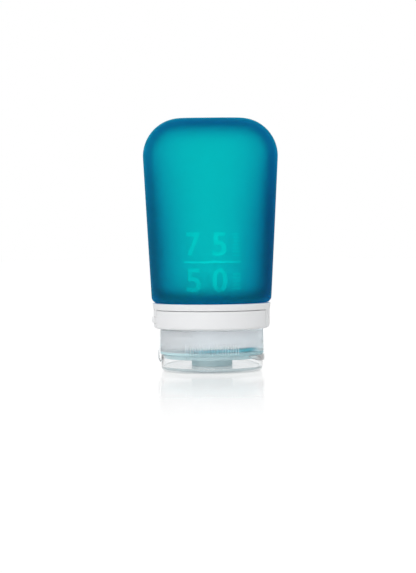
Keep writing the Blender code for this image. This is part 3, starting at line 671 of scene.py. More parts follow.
def frosted_material(settings):
    """Frosted plastic: a faintly milky wall that lets shapes behind it through.

    It is milkier at some places, each given by where its share starts and where it is full.
    """
    material, tree, shader, output = new_material("frosted_moulding")
    place = object_parts(tree)
    foot = step_between(tree, place["Z"], 7.8 * MM, 7.5 * MM)
    deck = step_between(tree, place["Z"], 6.9 * MM, 6.6 * MM)
    collar_side = step_between(tree, place["Z"], 10.5 * MM, 12.5 * MM)
    hinge_side = step_between(tree, place["X"], -6.5 * MM, -12.5 * MM)
    grip_side = step_between(tree, place["X"], 11.2 * MM, 10.4 * MM)
    tone = clouded(tree, object_noise(tree, 70), settings.frost, 0.97)
    # Deck and spout tinted teal: painted glow of the teal silicone inside.
    tone = blend(tree, foot, tone, settings.foot_valve_glow)
    grain = object_noise(tree, FROST_GRAIN, detail=2.0)
    rough = less(tree, span(tree, grain, 0.38, 0.46), (collar_side, -0.25))
    dress(tree, shader, tone, grain, rough)
    # The ribs are milkier, partly as a painted highlight on them.
    passing = less(tree, settings.frost_clearness, (noted_share(tree, "rib"), settings.rib_loss),
                   (hinge_side, 0.24), (grip_side, 0.06), (foot, 0.4), (deck, 0.3))
    feed(tree, shader, {"Transmission Weight": passing, "IOR": settings.frost_ior})
    absorb(tree, output, settings.frost_depth, settings.frost_density)
    return material


def hinge_material(settings):
    """Frosted plastic of the bent strip, whitened where it bends."""
    material, tree, shader, _ = new_material("hinge_moulding")
    middle = LID_HIGH.z + settings.seam / 2
    bend = step_between(tree, object_parts(tree)["Z"], middle - settings.hinge_half, middle)
    tone = clouded(tree, bend, settings.hinge, 0.93)
    grain = object_noise(tree, FROST_GRAIN, detail=2.0)
    dress(tree, shader, tone, grain, span(tree, grain, 0.4, 0.5))
    feed(tree, shader, {"Transmission Weight": 0.85, "IOR": 1.08})
    return material


def clear_material(settings):
    """Polished clear plastic with faint flow lines."""
    material, tree, shader, output = new_material("clear_moulding")
    flow = object_noise(tree, 90, detail=2.0, stretch=(1, 1, 2.5))
    tone = clouded(tree, flow, settings.clear, 0.985)
    dress(tree, shader, tone, flow, span(tree, flow, 0.02, 0.06), depth=0.05 * MM, strength=0.25)
    passing = less(tree, 1.0, (noted_share(tree, "grip"), settings.grip_loss))
    feed(tree, shader, {"Transmission Weight": passing, "IOR": 1.49})
    absorb(tree, output, settings.clear_depth, settings.clear_density)
    return material


def steel_material():
    """Drawn steel wire."""
    material, tree, shader, _ = new_material("drawn_steel")
    lines = object_noise(tree, 900, detail=2.0, stretch=(1, 1, 0.05))
    tone = blend(tree, lines, (0.42, 0.43, 0.45), (0.62, 0.63, 0.65))
    feed(tree, shader, {"Base Color": tone, "Roughness": span(tree, lines, 0.2, 0.4), "Metallic": 1.0})
    return material


def material_named(name, maker, *arguments):
    """Return a material that exists, or make it."""
    return bpy.data.materials.get(name) or maker(*arguments)


def share_between(value, low, high):
    """Return how far a value lies between two others, from 0 to 1."""
    return min(1, max(0, (value - low) / (high - low)))


def drawn_in(height, top, radius):
    """Return how far a round edge of this radius draws a side in at a height."""
    rise = max(0, height - (top - radius))
    return radius - math.sqrt(max(0, radius ** 2 - rise ** 2))


class Bottle:
    """The bottle's shape, worked out from its settings and the frame."""

    def __init__(self, settings):
        self.size = settings
        self.foot = COLLAR_HIGH.z + settings.shoulder_gap
        self.height = BODY_HIGH.z - self.foot
        self.half_width = BODY_HIGH.x
        self.shoulder = BODY_HIGH.y - settings.shoulder_inset

    def section(self, height, squareness):
        """Return half width, half depth and squareness at a height above the shoulder."""
        size = self.size
        corner_z = self.height - size.end_corner
        fillet_z = self.height - size.end_fillet
        side = share_between(height, size.shoulder_fillet, corner_z)
        down = share_between(height, size.shoulder_fillet, fillet_z)
        half_width = self.shoulder + (self.half_width - self.shoulder) * side
        flare = (self.shoulder - size.end_depth / 2) * (1 - down) ** size.taper_power
        half_depth = size.end_depth / 2 + flare
        return half_width, half_depth, 2 + (squareness - 2) * side ** size.squareness_rise

    def oval(self, half_width, half_depth, squareness, height):
        """Return the points of a rounded section."""
        points = []
        for index in range(self.size.steps):
            turn = FULL_TURN * index / self.size.steps
            cosine, sine = math.cos(turn), math.sin(turn)
            x = half_width * math.copysign(abs(cosine) ** (2 / squareness), cosine)
            y = half_depth * math.copysign(abs(sine) ** (2 / squareness), sine)
            points.append((x, y, self.foot + height))
        return points

    def skin(self, walls, squareness, edge, floor, fillet):
        """Return one skin's rings from the closed end down to its foot, set in by its walls.

        The walls are those of the sides, of front and back, and of the closed end.
        """
        end_steps, side_steps, fillet_steps = 28, 48, 8
        side_wall, front_wall, end_wall = walls
        corner = self.size.end_corner - side_wall
        top = self.height - end_wall
        start = top - corner
        turns = [math.pi / 2 * (1 - index / end_steps) for index in range(end_steps)]
        heights = [top - corner * (1 - math.sin(turn)) for turn in turns]
        heights += [start + (floor + fillet - start) * index / side_steps for index in range(side_steps)]
        rings = [self.end_ring(height, top, corner, edge, walls, squareness) for height in heights]
        half_width, half_depth, square = self.section(floor + fillet, squareness)
        for index in range(fillet_steps + 1):
            turn = math.pi / 2 * index / fillet_steps
            pull = fillet * (1 - math.cos(turn))
            height = floor + fillet * (1 - math.sin(turn))
            across, deep = half_width - side_wall - pull, half_depth - front_wall - pull
            rings.append(self.oval(across, deep, square, height))
        return rings

    def end_ring(self, height, top, corner, edge, walls, squareness):
        """Return a ring that is drawn in by the closed end's corners and edge where it is near them."""
        half_width, half_depth, square = self.section(height, squareness)
        half_width -= walls[0] + drawn_in(height, top, corner)
        half_depth -= walls[1] + drawn_in(height, top, edge)
        return self.oval(half_width, half_depth, square, height)

    def circle(self, radius, height):
        """Return a round ring of points at a height above the lid's face."""
        return self.oval(radius, radius, 2, height - self.foot)

    def front(self, x, z):
        """Return where the front's surface lies at a place across and above."""
        half_width, half_depth, squareness = self.section(z - self.foot, self.size.squareness)
        share = 1 - (abs(x) / half_width) ** squareness
        return -half_depth * share ** (1 / squareness)

    def waist(self, z):
        """Return the hollow's share of its width at a height, least at half the height."""
        rise = share_between(z - self.foot, 0, self.height)
        return 1 - self.size.core_waist * math.sin(math.pi * rise) / self.half_width


def mark_outline(text, left, foot, height, width):
    """Return a digit as a filled mesh of (x, z) points fitted to its place."""
    boldness = 0.018
    curve = bpy.data.curves.new("digit", "FONT")
    curve.body = text
    curve.offset = boldness
    curve.resolution_u = 6
    source = link(bpy.data.objects.new("digit", curve))
    graph = bpy.context.evaluated_depsgraph_get()
    mesh = bpy.data.meshes.new_from_object(source.evaluated_get(graph))
    bpy.data.objects.remove(source, do_unlink=True)
    xs = [vertex.co.x for vertex in mesh.vertices]
    ys = [vertex.co.y for vertex in mesh.vertices]
    across = width / (max(xs) - min(xs))
    up = height / (max(ys) - min(ys))
    for vertex in mesh.vertices:
        vertex.co = (left + (vertex.co.x - min(xs)) * across, 0, foot + (vertex.co.y - min(ys)) * up)
    return mesh


def sink_cutter(mesh, material, bottle, depth):
    """Turn a flat mark into a solid that follows the bottle's front from outside to its depth."""
    proud = 0.6 * MM
    shape = bmesh.new()
    shape.from_mesh(mesh)
    bmesh.ops.remove_doubles(shape, verts=shape.verts, dist=MM / 1000)
    result = bmesh.ops.extrude_face_region(shape, geom=list(shape.faces))["geom"]
    inner = {item for item in result if isinstance(item, bmesh.types.BMVert)}
    for vertex in shape.verts:
        surface = bottle.front(vertex.co.x, vertex.co.z)
        vertex.co.y = surface + (depth if vertex in inner else -proud)
    cutter = finish_mesh("mark", shape)
    cutter.materials.clear()  # this also takes the faces back to the first slot
    cutter.materials.append(material)
    return cutter


def open_tree(name, numbers):
    """Return a node tree with inputs for a count, these numbers and a material, and what they give."""
    tree = bpy.data.node_groups.new(name, "GeometryNodeTree")
    kinds = {"Geometry": "NodeSocketGeometry", "Count": "NodeSocketInt"}
    kinds.update({label: "NodeSocketFloat" for label in numbers})
    kinds["Material"] = "NodeSocketMaterial"
    for label, kind in kinds.items():
        tree.interface.new_socket(label, in_out="INPUT", socket_type=kind)
    tree.interface.new_socket("Geometry", in_out="OUTPUT", socket_type="NodeSocketGeometry")
    return tree, add_node(tree, "NodeGroupInput").outputs


def close_tree(tree, points, shape, material, scale=(1, 1, 1)):
    """End a tree: set a shape on points, make the copies real and give them their material."""
    inputs = {"Points": points, "Instance": shape, "Scale": scale}
    copies = add_node(tree, "GeometryNodeInstanceOnPoints", inputs).outputs["Instances"]
    real = add_node(tree, "GeometryNodeRealizeInstances", {"Geometry": copies}).outputs["Geometry"]
    paint = add_node(tree, "GeometryNodeSetMaterial", {"Geometry": real, "Material": material})
    add_node(tree, "NodeGroupOutput", {"Geometry": paint.outputs["Geometry"]})
    return tree


def vector_of(tree, **parts):
    """Return a vector from its X, Y and Z."""
    return add_node(tree, "ShaderNodeCombineXYZ", parts).outputs["Vector"]


def tick_tree():
    """Build the node tree that lays a column of ticks, or one rule, as flat bars."""
    tree, given = open_tree("tick_column", ("Pitch", "Length", "Width", "Left", "Foot"))
    middle = calculate(tree, "MULTIPLY_ADD", given["Length"], 0.5, given["Left"])
    line = add_node(tree, "GeometryNodeMeshLine", {
        "Count": given["Count"],
        "Start Location": vector_of(tree, X=middle, Z=given["Foot"]),
        "Offset": vector_of(tree, Z=given["Pitch"]),
    })
    bar = add_node(tree, "GeometryNodeMeshGrid", {
        "Size X": given["Length"], "Size Y": given["Width"], "Vertices X": 9, "Vertices Y": 2,
    })
    upright = add_node(tree, "GeometryNodeTransform", {
        "Geometry": bar.outputs["Mesh"], "Rotation": (math.pi / 2, 0, 0),
    })
    return close_tree(tree, line.outputs["Mesh"], upright.outputs["Geometry"], given["Material"])


def run_tree(name, tree, values):
    """Run a node tree with named inputs and return its result as a plain mesh."""
    holder = link(bpy.data.objects.new(name, bpy.data.meshes.new(name)))
    modifier = holder.modifiers.new("Nodes", "NODES")
    modifier.node_group = tree
    for item in tree.interface.items_tree:
        if item.in_out == "INPUT" and item.name in values:
            modifier[item.identifier] = values[item.name]
    graph = bpy.context.evaluated_depsgraph_get()
    mesh = bpy.data.meshes.new_from_object(holder.evaluated_get(graph))
    bpy.data.objects.remove(holder, do_unlink=True)
    return mesh


def note_shares(mesh, name, values):
    """Note a share for each face under a name that a material reads."""
    mesh.attributes.new(name, "FLOAT", "FACE").data.foreach_set("value", values)


def note_faces(mesh, name, markers):
    """Note the shares of the faces with marker materials, and take the markers away."""
    slots = {mesh.materials.find(marker.name): value for marker, value in markers}
    values = [slots.get(face.material_index, 0.0) for face in mesh.polygons]
    note_shares(mesh, name, values)
    for marker, _ in markers:
        bpy.data.materials.remove(marker)


class TUBE_OT_bottle(bpy.types.Operator):
    """Build the silicone bottle with its neck, lip and sunk marks"""
    bl_idname = "travel_tube.bottle"
    bl_label = "Bottle"

    def execute(self, context):
        size = context.scene.tube_bottle
        bottle = Bottle(size)
        silicone = silicone_material(size)
        digits = bpy.data.materials.new("digits")
        lines = bpy.data.materials.new("lines")
        walls = (size.side_wall, size.front_wall, size.end_wall)
        outer = bottle.skin((0, 0, 0), size.squareness, size.end_fillet, 0, size.shoulder_fillet)
        inner = bottle.skin(walls, size.inner_squareness, size.end_hollow, size.shoulder_wall,
                            size.shoulder_hollow)
        inner = [[(x * bottle.waist(z) - size.core_shift, y, z) for x, y, z in ring] for ring in inner]
        collar = context.scene.tube_collar
        neck = collar.neck_bore - collar.gap
        bore = neck - size.neck_wall
        lip = neck + size.lip_width
        low = BODY_LOW.z
        soft = 0.3 * MM
        path = rounded([
            (neck, bottle.foot, 0),
            (neck, low + size.lip_thickness, soft),
            (lip, low + size.lip_thickness, soft),
            (lip, low, soft),
            (bore, low, soft),
            (bore, bottle.foot + size.shoulder_wall, 0),
        ], 3)
        rings = outer + [bottle.circle(radius, height) for radius, height in path] + inner[::-1]
        mesh = loft("bottle_skin", rings)
        for vertex in mesh.vertices:
            spot = vertex.co
            if low + size.lip_thickness / 2 < spot.z < bottle.foot and spot.xy.length > neck + soft:
                spot.z -= run_out(spot.x)
        mesh.materials.append(silicone)
        marks = context.scene.tube_marks
        mesh = shape_with(mesh, *self.marks(marks, bottle, digits, lines))
        note_faces(mesh, "mark", [(digits, 1.0), (lines, marks.line_share)])
        firm = material_named("firm_silicone", firm_silicone_material, size)
        piece = add_piece("bottle_skin", mesh, silicone, firm)
        slots = [int(face.center.z < bottle.foot) for face in mesh.polygons]
        mesh.polygons.foreach_set("material_index", slots)
        settle(piece, "tube", "squeeze_body")
        return {"FINISHED"}

    def marks(self, size, bottle, digits, lines):
        """Return the Boolean steps that sink the numbers, the rule and the ticks."""
        flats = []
        for text, foot in ((size.upper, size.upper_foot), (size.lower, size.lower_foot)):
            for digit, left in zip(text, (size.first_left, size.second_left)):
                flat = mark_outline(digit, left, foot, size.height, size.width)
                flats.append((flat, digits, size.depth))
        tree = tick_tree()
        ticks = (size.tick_pitch, size.rule_right - size.tick_left, size.tick_width, size.tick_left)
        names = ("Count", "Pitch", "Length", "Width", "Left", "Foot")
        rows = (
            (1, 0, size.rule_right - size.rule_left, size.rule_width, size.rule_left, size.rule_height),
            (size.ticks_upper, *ticks, size.upper_foot + size.tick_width / 2),
            (size.ticks_lower, *ticks, size.lower_foot + size.tick_pitch),
        )
        for row in rows:
            flat = run_tree("ticks", tree, {**dict(zip(names, row)), "Material": lines})
            flats.append((flat, lines, size.line_depth))
        return [("DIFFERENCE", sink_cutter(flat, material, bottle, depth)) for flat, material, depth in flats]


def thread_ridge(wall, crest, phase):
    """Return one right-hand thread ridge on a wall, tapered out at both ends.

    An end has the least share of the full height, and run_in sets how soon the height is full.
    """
    size = bpy.context.scene.tube_collar
    bury, soft = 0.4 * MM, 0.15 * MM
    least, run_in = 0.2, 12
    root = wall - math.copysign(bury, crest - wall)
    turns = size.thread_rise / size.thread_pitch
    pieces = math.ceil(turns * size.steps / 2)
    foot, flat = size.thread_foot / 2, size.thread_crest / 2
    low = RING_LOW.z + size.thread_margin
    rings = []
    for index in range(pieces + 1):
        turn = turns * index / pieces
        share = min(1, least + (1 - least) * min(turn, turns - turn) * run_in)
        top = root + (crest - root) * share
        section = rounded([(root, -foot, 0), (top, -flat, soft), (top, flat, soft), (root, foot, 0)], 3)
        rings.append(turned(section, FULL_TURN * turn + phase, low + size.thread_pitch * turn))
    return loft("thread", rings, THREAD_ANGLE)


def run_out(x):
    """Return how far the ring's foot, and the lip under it, lie lower at a place across."""
    size = bpy.context.scene.tube_collar
    width = 0.8 * size.thread_root
    return size.run_out * (0.5 - x / width)


class TUBE_OT_collar(bpy.types.Operator):
    """Build the threaded ring and the white collar with its ears and catch"""
    bl_idname = "travel_tube.collar"
    bl_label = "Collar"

    def execute(self, context):
        size = context.scene.tube_collar
        white = material_named("white_moulding", white_material, size)
        self.neck_ring(size, white)
        self.collar(size, white)
        return {"FINISHED"}

    def neck_ring(self, size, white):
        """Make the ring that carries the cap's thread."""
        foot = COLLAR_LOW.z - size.gap / 2
        profile = rounded([
            (size.seat, RING_HIGH.z, size.edge),
            (size.seat, foot, size.edge),
            (size.thread_root, foot, 0),
            (size.thread_root, RING_LOW.z, size.edge),
            (size.neck_bore, RING_LOW.z, size.edge),
            (size.neck_bore, RING_HIGH.z, size.edge),
        ], 3)
        ring = revolve("ring", profile, size.steps)
        for vertex in ring.vertices:
            if vertex.co.z < RING_LOW.z + size.edge + HAIR:
                vertex.co.z -= run_out(vertex.co.x) + size.ring_drop
        crest = size.thread_root + size.thread_depth
        thread = thread_ridge(size.thread_root, crest, 0)
        mesh = shape_with(ring, ("UNION", thread), sharp=THREAD_ANGLE)
        settle(add_piece("threaded_ring", mesh, white), "tube", "neck_ring")

    def collar(self, size, white):
        """Make the flange, the back of the collar, the ears and the catch."""
        low, high = COLLAR_LOW.z, COLLAR_HIGH.z
        flange = high - size.flange_height
        radius = COLLAR_HIGH.x + size.flange_flare
        top = high - size.flange_top
        profile = rounded([
            (radius, top, size.edge),
            (radius - size.flange_taper, flange, size.edge),
            (size.core, flange, 0.1 * MM),
            (size.core, low, size.edge),
            (size.bore, low, size.edge),
            (size.bore, top, size.edge),
        ], 4)
        ring = revolve("flange", profile, size.steps)
        inner = (size.core + size.bore) / 2
        joined = flange + size.edge * 2
        section = four_sided((size.outer, joined), (inner, low), (0, size.foot_round, 0.05 * MM, 0), 8)
        back = band("back", section, size.catch - FULL_TURN, size.ear_end, size.steps, 0.3 * MM)
        notch_low = low + size.notch_low
        notch_high = notch_low + 2 * size.knuckle_gap + size.knuckle_height
        overrun = math.radians(2)
        notch = sector(size.core, radius + MM, size.ear_start, size.ear_end + overrun, size.steps)
        hole = PIN_HIGH.y + size.gap / 3
        mesh = shape_with(
            ring,
            ("UNION", back),
            ("DIFFERENCE", prism("notch", notch, notch_low, notch_high)),
            ("DIFFERENCE", disc("scallop", size.knuckle + size.gap, notch_low, notch_high)),
            ("DIFFERENCE", disc("hole", hole, low - MM, PIN_HIGH.z + size.gap, 24)),
            sharp=RING_ANGLE,
        )
        settle(add_piece("collar", mesh, white), "tube", "collar_ring")


class TUBE_OT_strap(bpy.types.Operator):
    """Build the strap that swings out as a loop, and the pin of its hinge"""
    bl_idname = "travel_tube.strap"
    bl_label = "Strap and Pin"

    def execute(self, context):
        size = context.scene.tube_collar
        white = material_named("white_moulding", white_material, size)
        low, high = STRAP_LOW.z, STRAP_HIGH.z + size.strap_rise
        outer, inner = -STRAP_LOW.y, size.strap_inner
        band_radii = (0.45 * MM, size.strap_round, 0.3 * MM, 0.3 * MM)
        arm_radii = (0.25 * MM, 0.25 * MM, 0.1 * MM, 0.1 * MM)
        section = four_sided((outer, high), (inner, low), band_radii, 8)
        strap = band("strap", section, size.strap_start, size.strap_end, size.steps, 0.35 * MM)
        knuckle_low = COLLAR_LOW.z + size.notch_low + size.knuckle_gap
        knuckle_high = knuckle_low + size.knuckle_height
        arm_section = four_sided((outer, knuckle_high), (inner, knuckle_low), arm_radii, 4)
        overlap = math.radians(2.5)
        arm = band("arm", arm_section, math.pi, size.strap_start + overlap, size.steps, 0.1 * MM)
        knuckle = stub("knuckle", size.knuckle, knuckle_low, knuckle_high, size.knuckle_round, 64, 4)
        hole = disc("hole", PIN_HIGH.y + size.gap, knuckle_low - MM, knuckle_high + MM, 32)
        mesh = shape_with(strap, ("UNION", arm), ("UNION", knuckle), ("DIFFERENCE", hole), sharp=RING_ANGLE)
        settle(add_piece("swing_strap", mesh, white), "strap", "loop_strap")
        pin = stub("pin", PIN_HIGH.y, PIN_LOW.z, PIN_HIGH.z, 0.15 * MM, 32, 3)
        steel = material_named("drawn_steel", steel_material)
        settle(add_piece("hinge_pin", pin, steel), "tube", "strap_hinge_pin")
        return {"FINISHED"}


def rib_tree():
    """Build the node tree that sets ribs along an arc round Z."""
    names = ("Pitch Angle", "Middle Angle", "Radius", "Rib Radius", "Rib Half Length", "Middle Height")
    tree, given = open_tree("grip_ribs", names)
    index = add_node(tree, "GeometryNodeInputIndex").outputs["Index"]
    last = calculate(tree, "SUBTRACT", given["Count"], 1)
    centred = calculate(tree, "SUBTRACT", index, calculate(tree, "MULTIPLY", last, 0.5))
    swing = calculate(tree, "MULTIPLY", centred, given["Pitch Angle"])
    around = calculate(tree, "ADD", swing, given["Middle Angle"])
    across, along = [calculate(tree, "MULTIPLY", given["Radius"], calculate(tree, part, around))
                     for part in ("COSINE", "SINE")]
    line = add_node(tree, "GeometryNodeMeshLine", {"Count": given["Count"]})
    put = add_node(tree, "GeometryNodeSetPosition", {
        "Geometry": line.outputs["Mesh"],
        "Position": vector_of(tree, X=across, Y=along, Z=given["Middle Height"]),
    })
    rib = add_node(tree, "GeometryNodeMeshUVSphere", {"Segments": 12, "Rings": 12, "Radius": 1.0})
    wide = given["Rib Radius"]
    scale = vector_of(tree, X=wide, Y=wide, Z=given["Rib Half Length"])
    return close_tree(tree, put.outputs["Geometry"], rib.outputs["Mesh"], given["Material"], scale)


def grip_ribs(size, radius, proud, heights, material):
    """Return the Boolean steps that add the grips' ribs, at the front and the back, between two heights."""
    low, high = heights
    tree = bpy.data.node_groups.get("grip_ribs") or rib_tree()
    steps = []
    for middle in (-math.pi / 2, math.pi / 2):
        ribs = run_tree("ribs", tree, {
            "Count": size.rib_count,
            "Pitch Angle": size.rib_pitch / size.radius,
            "Middle Angle": middle,
            "Radius": radius,
            "Rib Radius": proud,
            "Rib Half Length": (high - low) / 2,
            "Middle Height": (high + low) / 2,
            "Material": material,
        })
        steps.append(("UNION", ribs))
    return steps


class TUBE_OT_cap(bpy.types.Operator):
    """Build the frosted screw cap with its thread, spout and grip ribs"""
    bl_idname = "travel_tube.cap"
    bl_label = "Screw Cap"

    def execute(self, context):
        size = context.scene.tube_cap
        frost = material_named("frosted_moulding", frosted_material, size)
        skirt = LID_HIGH.z + size.seam
        deck = skirt - size.deck_drop
        top = CAP_HIGH.z
        seat_low = skirt - size.seat_depth
        spout_low = size.spout_foot
        spout_bore = size.spout_radius - size.spout_wall
        outside = size.radius + size.flare
        seat_bore = size.seat_radius - size.seat_wall
        edge = size.edge
        fine = 0.15 * MM
        profile = rounded([
            (size.radius, top, edge),
            (outside, size.rib_high, 0),
            (outside, skirt, fine),
            (size.seat_radius, skirt, fine),
            (size.seat_radius, seat_low, fine),
            (seat_bore, seat_low, fine),
            (seat_bore, deck, edge),
            (size.spout_radius, deck, edge),
            (size.spout_radius, spout_low, fine),
            (size.orifice, spout_low, edge),
            (size.orifice, spout_low + size.spout_end, fine),
            (spout_bore, spout_low + size.spout_end, fine),
            (spout_bore, deck + size.deck, fine),
            (size.bore, deck + size.deck, edge),
            (size.bore, top, fine),
        ], 4)
        body = revolve("cap", profile, size.steps)
        thread = thread_ridge(size.bore, size.bore - size.thread_depth, math.pi)
        ribs = grip_ribs(size, outside, size.rib_proud, (size.rib_low, size.rib_high), frost)
        mesh = shape_with(body, ("UNION", thread), *ribs, sharp=SOFT_ANGLE)
        note_shares(mesh, "rib", [self.rib_highlight_share(size, face.center, outside) for face in mesh.polygons])
        settle(add_piece("frosted_cap", mesh, frost), "cap", "screw_cap")
        return {"FINISHED"}

    def rib_highlight_share(self, size, spot, outside):
        """Return how white the cap's skin is at a place: only its ribs, and less in their middle, as a
        painted highlight on them.
        """
        if spot.xy.length < outside + HAIR:
            return 0.0
        least = 0.3
        return least + (1 - least) * share_between(abs(spot.x), 0, size.rib_fade)


class TUBE_OT_lid(bpy.types.Operator):
    """Build the clear flip lid and the bent strip that hinges it"""
    bl_idname = "travel_tube.lid"
    bl_label = "Flip Lid"

    def execute(self, context):
        size = context.scene.tube_cap
        clear = material_named("clear_moulding", clear_material, size)
        rim = LID_HIGH.z
        plate = size.lid_plate
        fine = 0.12 * MM
        profile = rounded([
            (0, plate + size.plug_height, 0),
            (size.plug_radius, plate + size.plug_height, 0.4 * MM),
            (size.plug_radius, plate, 0.3 * MM),
            (size.lid_bore, plate, size.lid_hollow),
            (size.lid_rim, rim, fine),
            (size.lid_radius, rim, fine),
            (size.lid_radius, size.lid_rib_high, 0),
            (size.lid_radius, size.lid_rib_low, 0),
            (size.lid_radius, size.lid_rib_low - fine, 0),
            (size.lid_radius - size.lid_taper, 0, size.lid_corner),
            (0, 0, 0),
        ], 8)
        body = revolve("lid", profile, size.steps, closed=False)
        heights = (size.lid_rib_low, size.lid_rib_high)
        ribs = grip_ribs(size, size.lid_radius, size.lid_rib_proud, heights, clear)
        mesh = shape_with(body, ("UNION", self.thumb_lip(size, rim)), *ribs, sharp=SOFT_ANGLE)
        note_shares(mesh, "grip", [self.matt_share(size, face.center) for face in mesh.polygons])
        settle(add_piece("clear_lid", mesh, clear), "lid", "flip_lid")
        self.hinge(size)
        return {"FINISHED"}

    def matt_share(self, size, spot):
        """Return how matt the lid's skin is at a place: the thumb lip most, the outer corner less."""
        off = spot.xy.length
        if off > size.lid_radius + 2 * HAIR and spot.x > abs(spot.y):
            return 1.0
        corner = 2 * HAIR < spot.z < size.lid_plate - 5 * HAIR and off > size.plug_radius + MM
        return size.corner_share if corner else 0.0

    def thumb_lip(self, size, rim):
        """Return the crescent that stands out of the rim."""
        pieces = 24
        root = size.lid_radius - 0.3 * MM
        thinnest, fullness = 0.03, 0.6
        rings = []
        for index in range(pieces + 1):
            share = 2 * index / pieces - 1
            swell = max(thinnest, 1 - share ** 2)
            reach = size.lid_radius + size.lip_reach * swell
            low = rim - size.lip_height * swell ** fullness
            soft = 0.2 * MM * swell
            section = rounded([
                (root, rim, 0),
                (reach, rim, soft),
                (reach, low + size.lip_reach * swell, soft),
                (root, low, 0),
            ], 3)
            rings.append(turned(section, size.lip_angle * share))
        return loft("thumb_lip", rings, SOFT_ANGLE)

    def hinge(self, size):
        """Make the bent strip that joins cap and lid."""
        frost = material_named("hinge_moulding", hinge_material, size)
        middle = LID_HIGH.z + size.seam / 2
        reach = size.hinge_reach - CAP_LOW.x
        pieces = 24
        half = size.hinge_width / 2
        overlap, bury = 0.15 * MM, 0.12 * MM
        thinnest = 0.62
        radii = (0.15 * MM, 0.15 * MM, 0.1 * MM, 0.1 * MM)
        rings = []
        for index in range(pieces + 1):
            share = 2 * index / pieces - 1
            rise = (size.hinge_half + overlap) * share
            wall = size.radius + size.flare if share > 0 else size.lid_radius
            outer = wall + (reach - wall) * (1 - share ** 4) - bury * share ** 4
            thick = size.hinge_strip * (thinnest + (1 - thinnest) * share ** 2)
            section = four_sided((outer, -half), (outer - thick, half), radii, 3)
            rings.append([(-x, y, middle + rise) for x, y in section])
        piece = add_piece("hinge_strip", loft("hinge_strip", rings, SOFT_ANGLE), frost)
        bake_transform(piece)


class TUBE_OT_valve(bpy.types.Operator):
    """Build the slit valve and the ring that keeps it in the spout"""
    bl_idname = "travel_tube.valve"
    bl_label = "Valve"

    def execute(self, context):
        silicone = material_named("firm_silicone", firm_silicone_material, context.scene.tube_bottle)
        radius = VALVE_HIGH.x
        low, high = VALVE_LOW.z, VALVE_HIGH.z
        wall, ledge = 0.9 * MM, 1.1 * MM
        dome, rise, thick = 3.6 * MM, 1.7 * MM, 0.7 * MM
        upper = self.dome(dome + thick, rise + thick - ledge, low + ledge)
        lower = self.dome(dome, rise, low)
        corners = rounded([
            (radius - wall, low + ledge, 0.2 * MM),
            (radius - wall, high, 0.15 * MM),
            (radius, high, 0.15 * MM),
            (radius, low, 0.25 * MM),
        ], 3)
        mesh = revolve("valve", upper + corners + lower[::-1], 96, closed=False)
        slit_length, slit_width = 6 * MM, 0.12 * MM
        cuts = []
        for along, across in ((slit_length, slit_width), (slit_width, slit_length)):
            outline = [(-along / 2, -across / 2), (along / 2, -across / 2),
                       (along / 2, across / 2), (-along / 2, across / 2)]
            cuts.append(("DIFFERENCE", prism("slit", outline, low, high)))
        mesh = shape_with(mesh, *cuts)
        settle(add_piece("slit_valve_soft", mesh, silicone), "cap", "slit_valve")
        self.keeper(context.scene.tube_collar)
        return {"FINISHED"}

    def dome(self, radius, rise, low):
        """Return a dome's points from its crown to its rim."""
        pieces = 12
        turns = [math.pi / 2 * (1 - index / pieces) for index in range(pieces + 1)]
        return [(radius * math.cos(turn), low + rise * math.sin(turn)) for turn in turns]

    def keeper(self, size):
        """Make the ring that presses on the valve's ledge."""
        white = material_named("white_moulding", white_material, size)
        flange = 0.8 * MM
        outer, bore = 5.35 * MM, 4.35 * MM
        edge = 0.2 * MM
        profile = rounded([
            (KEEPER_HIGH.x, KEEPER_HIGH.z, edge),
            (KEEPER_HIGH.x, KEEPER_HIGH.z - flange, edge),
            (outer, KEEPER_HIGH.z - flange, edge),
            (outer, KEEPER_LOW.z, edge),
            (bore, KEEPER_LOW.z, edge),
            (bore, KEEPER_HIGH.z, edge),
        ], 3)
        mesh = revolve("keeper", profile, 96)
        settle(add_piece("valve_keeper", mesh, white), "cap_carrier", "valve_retainer")


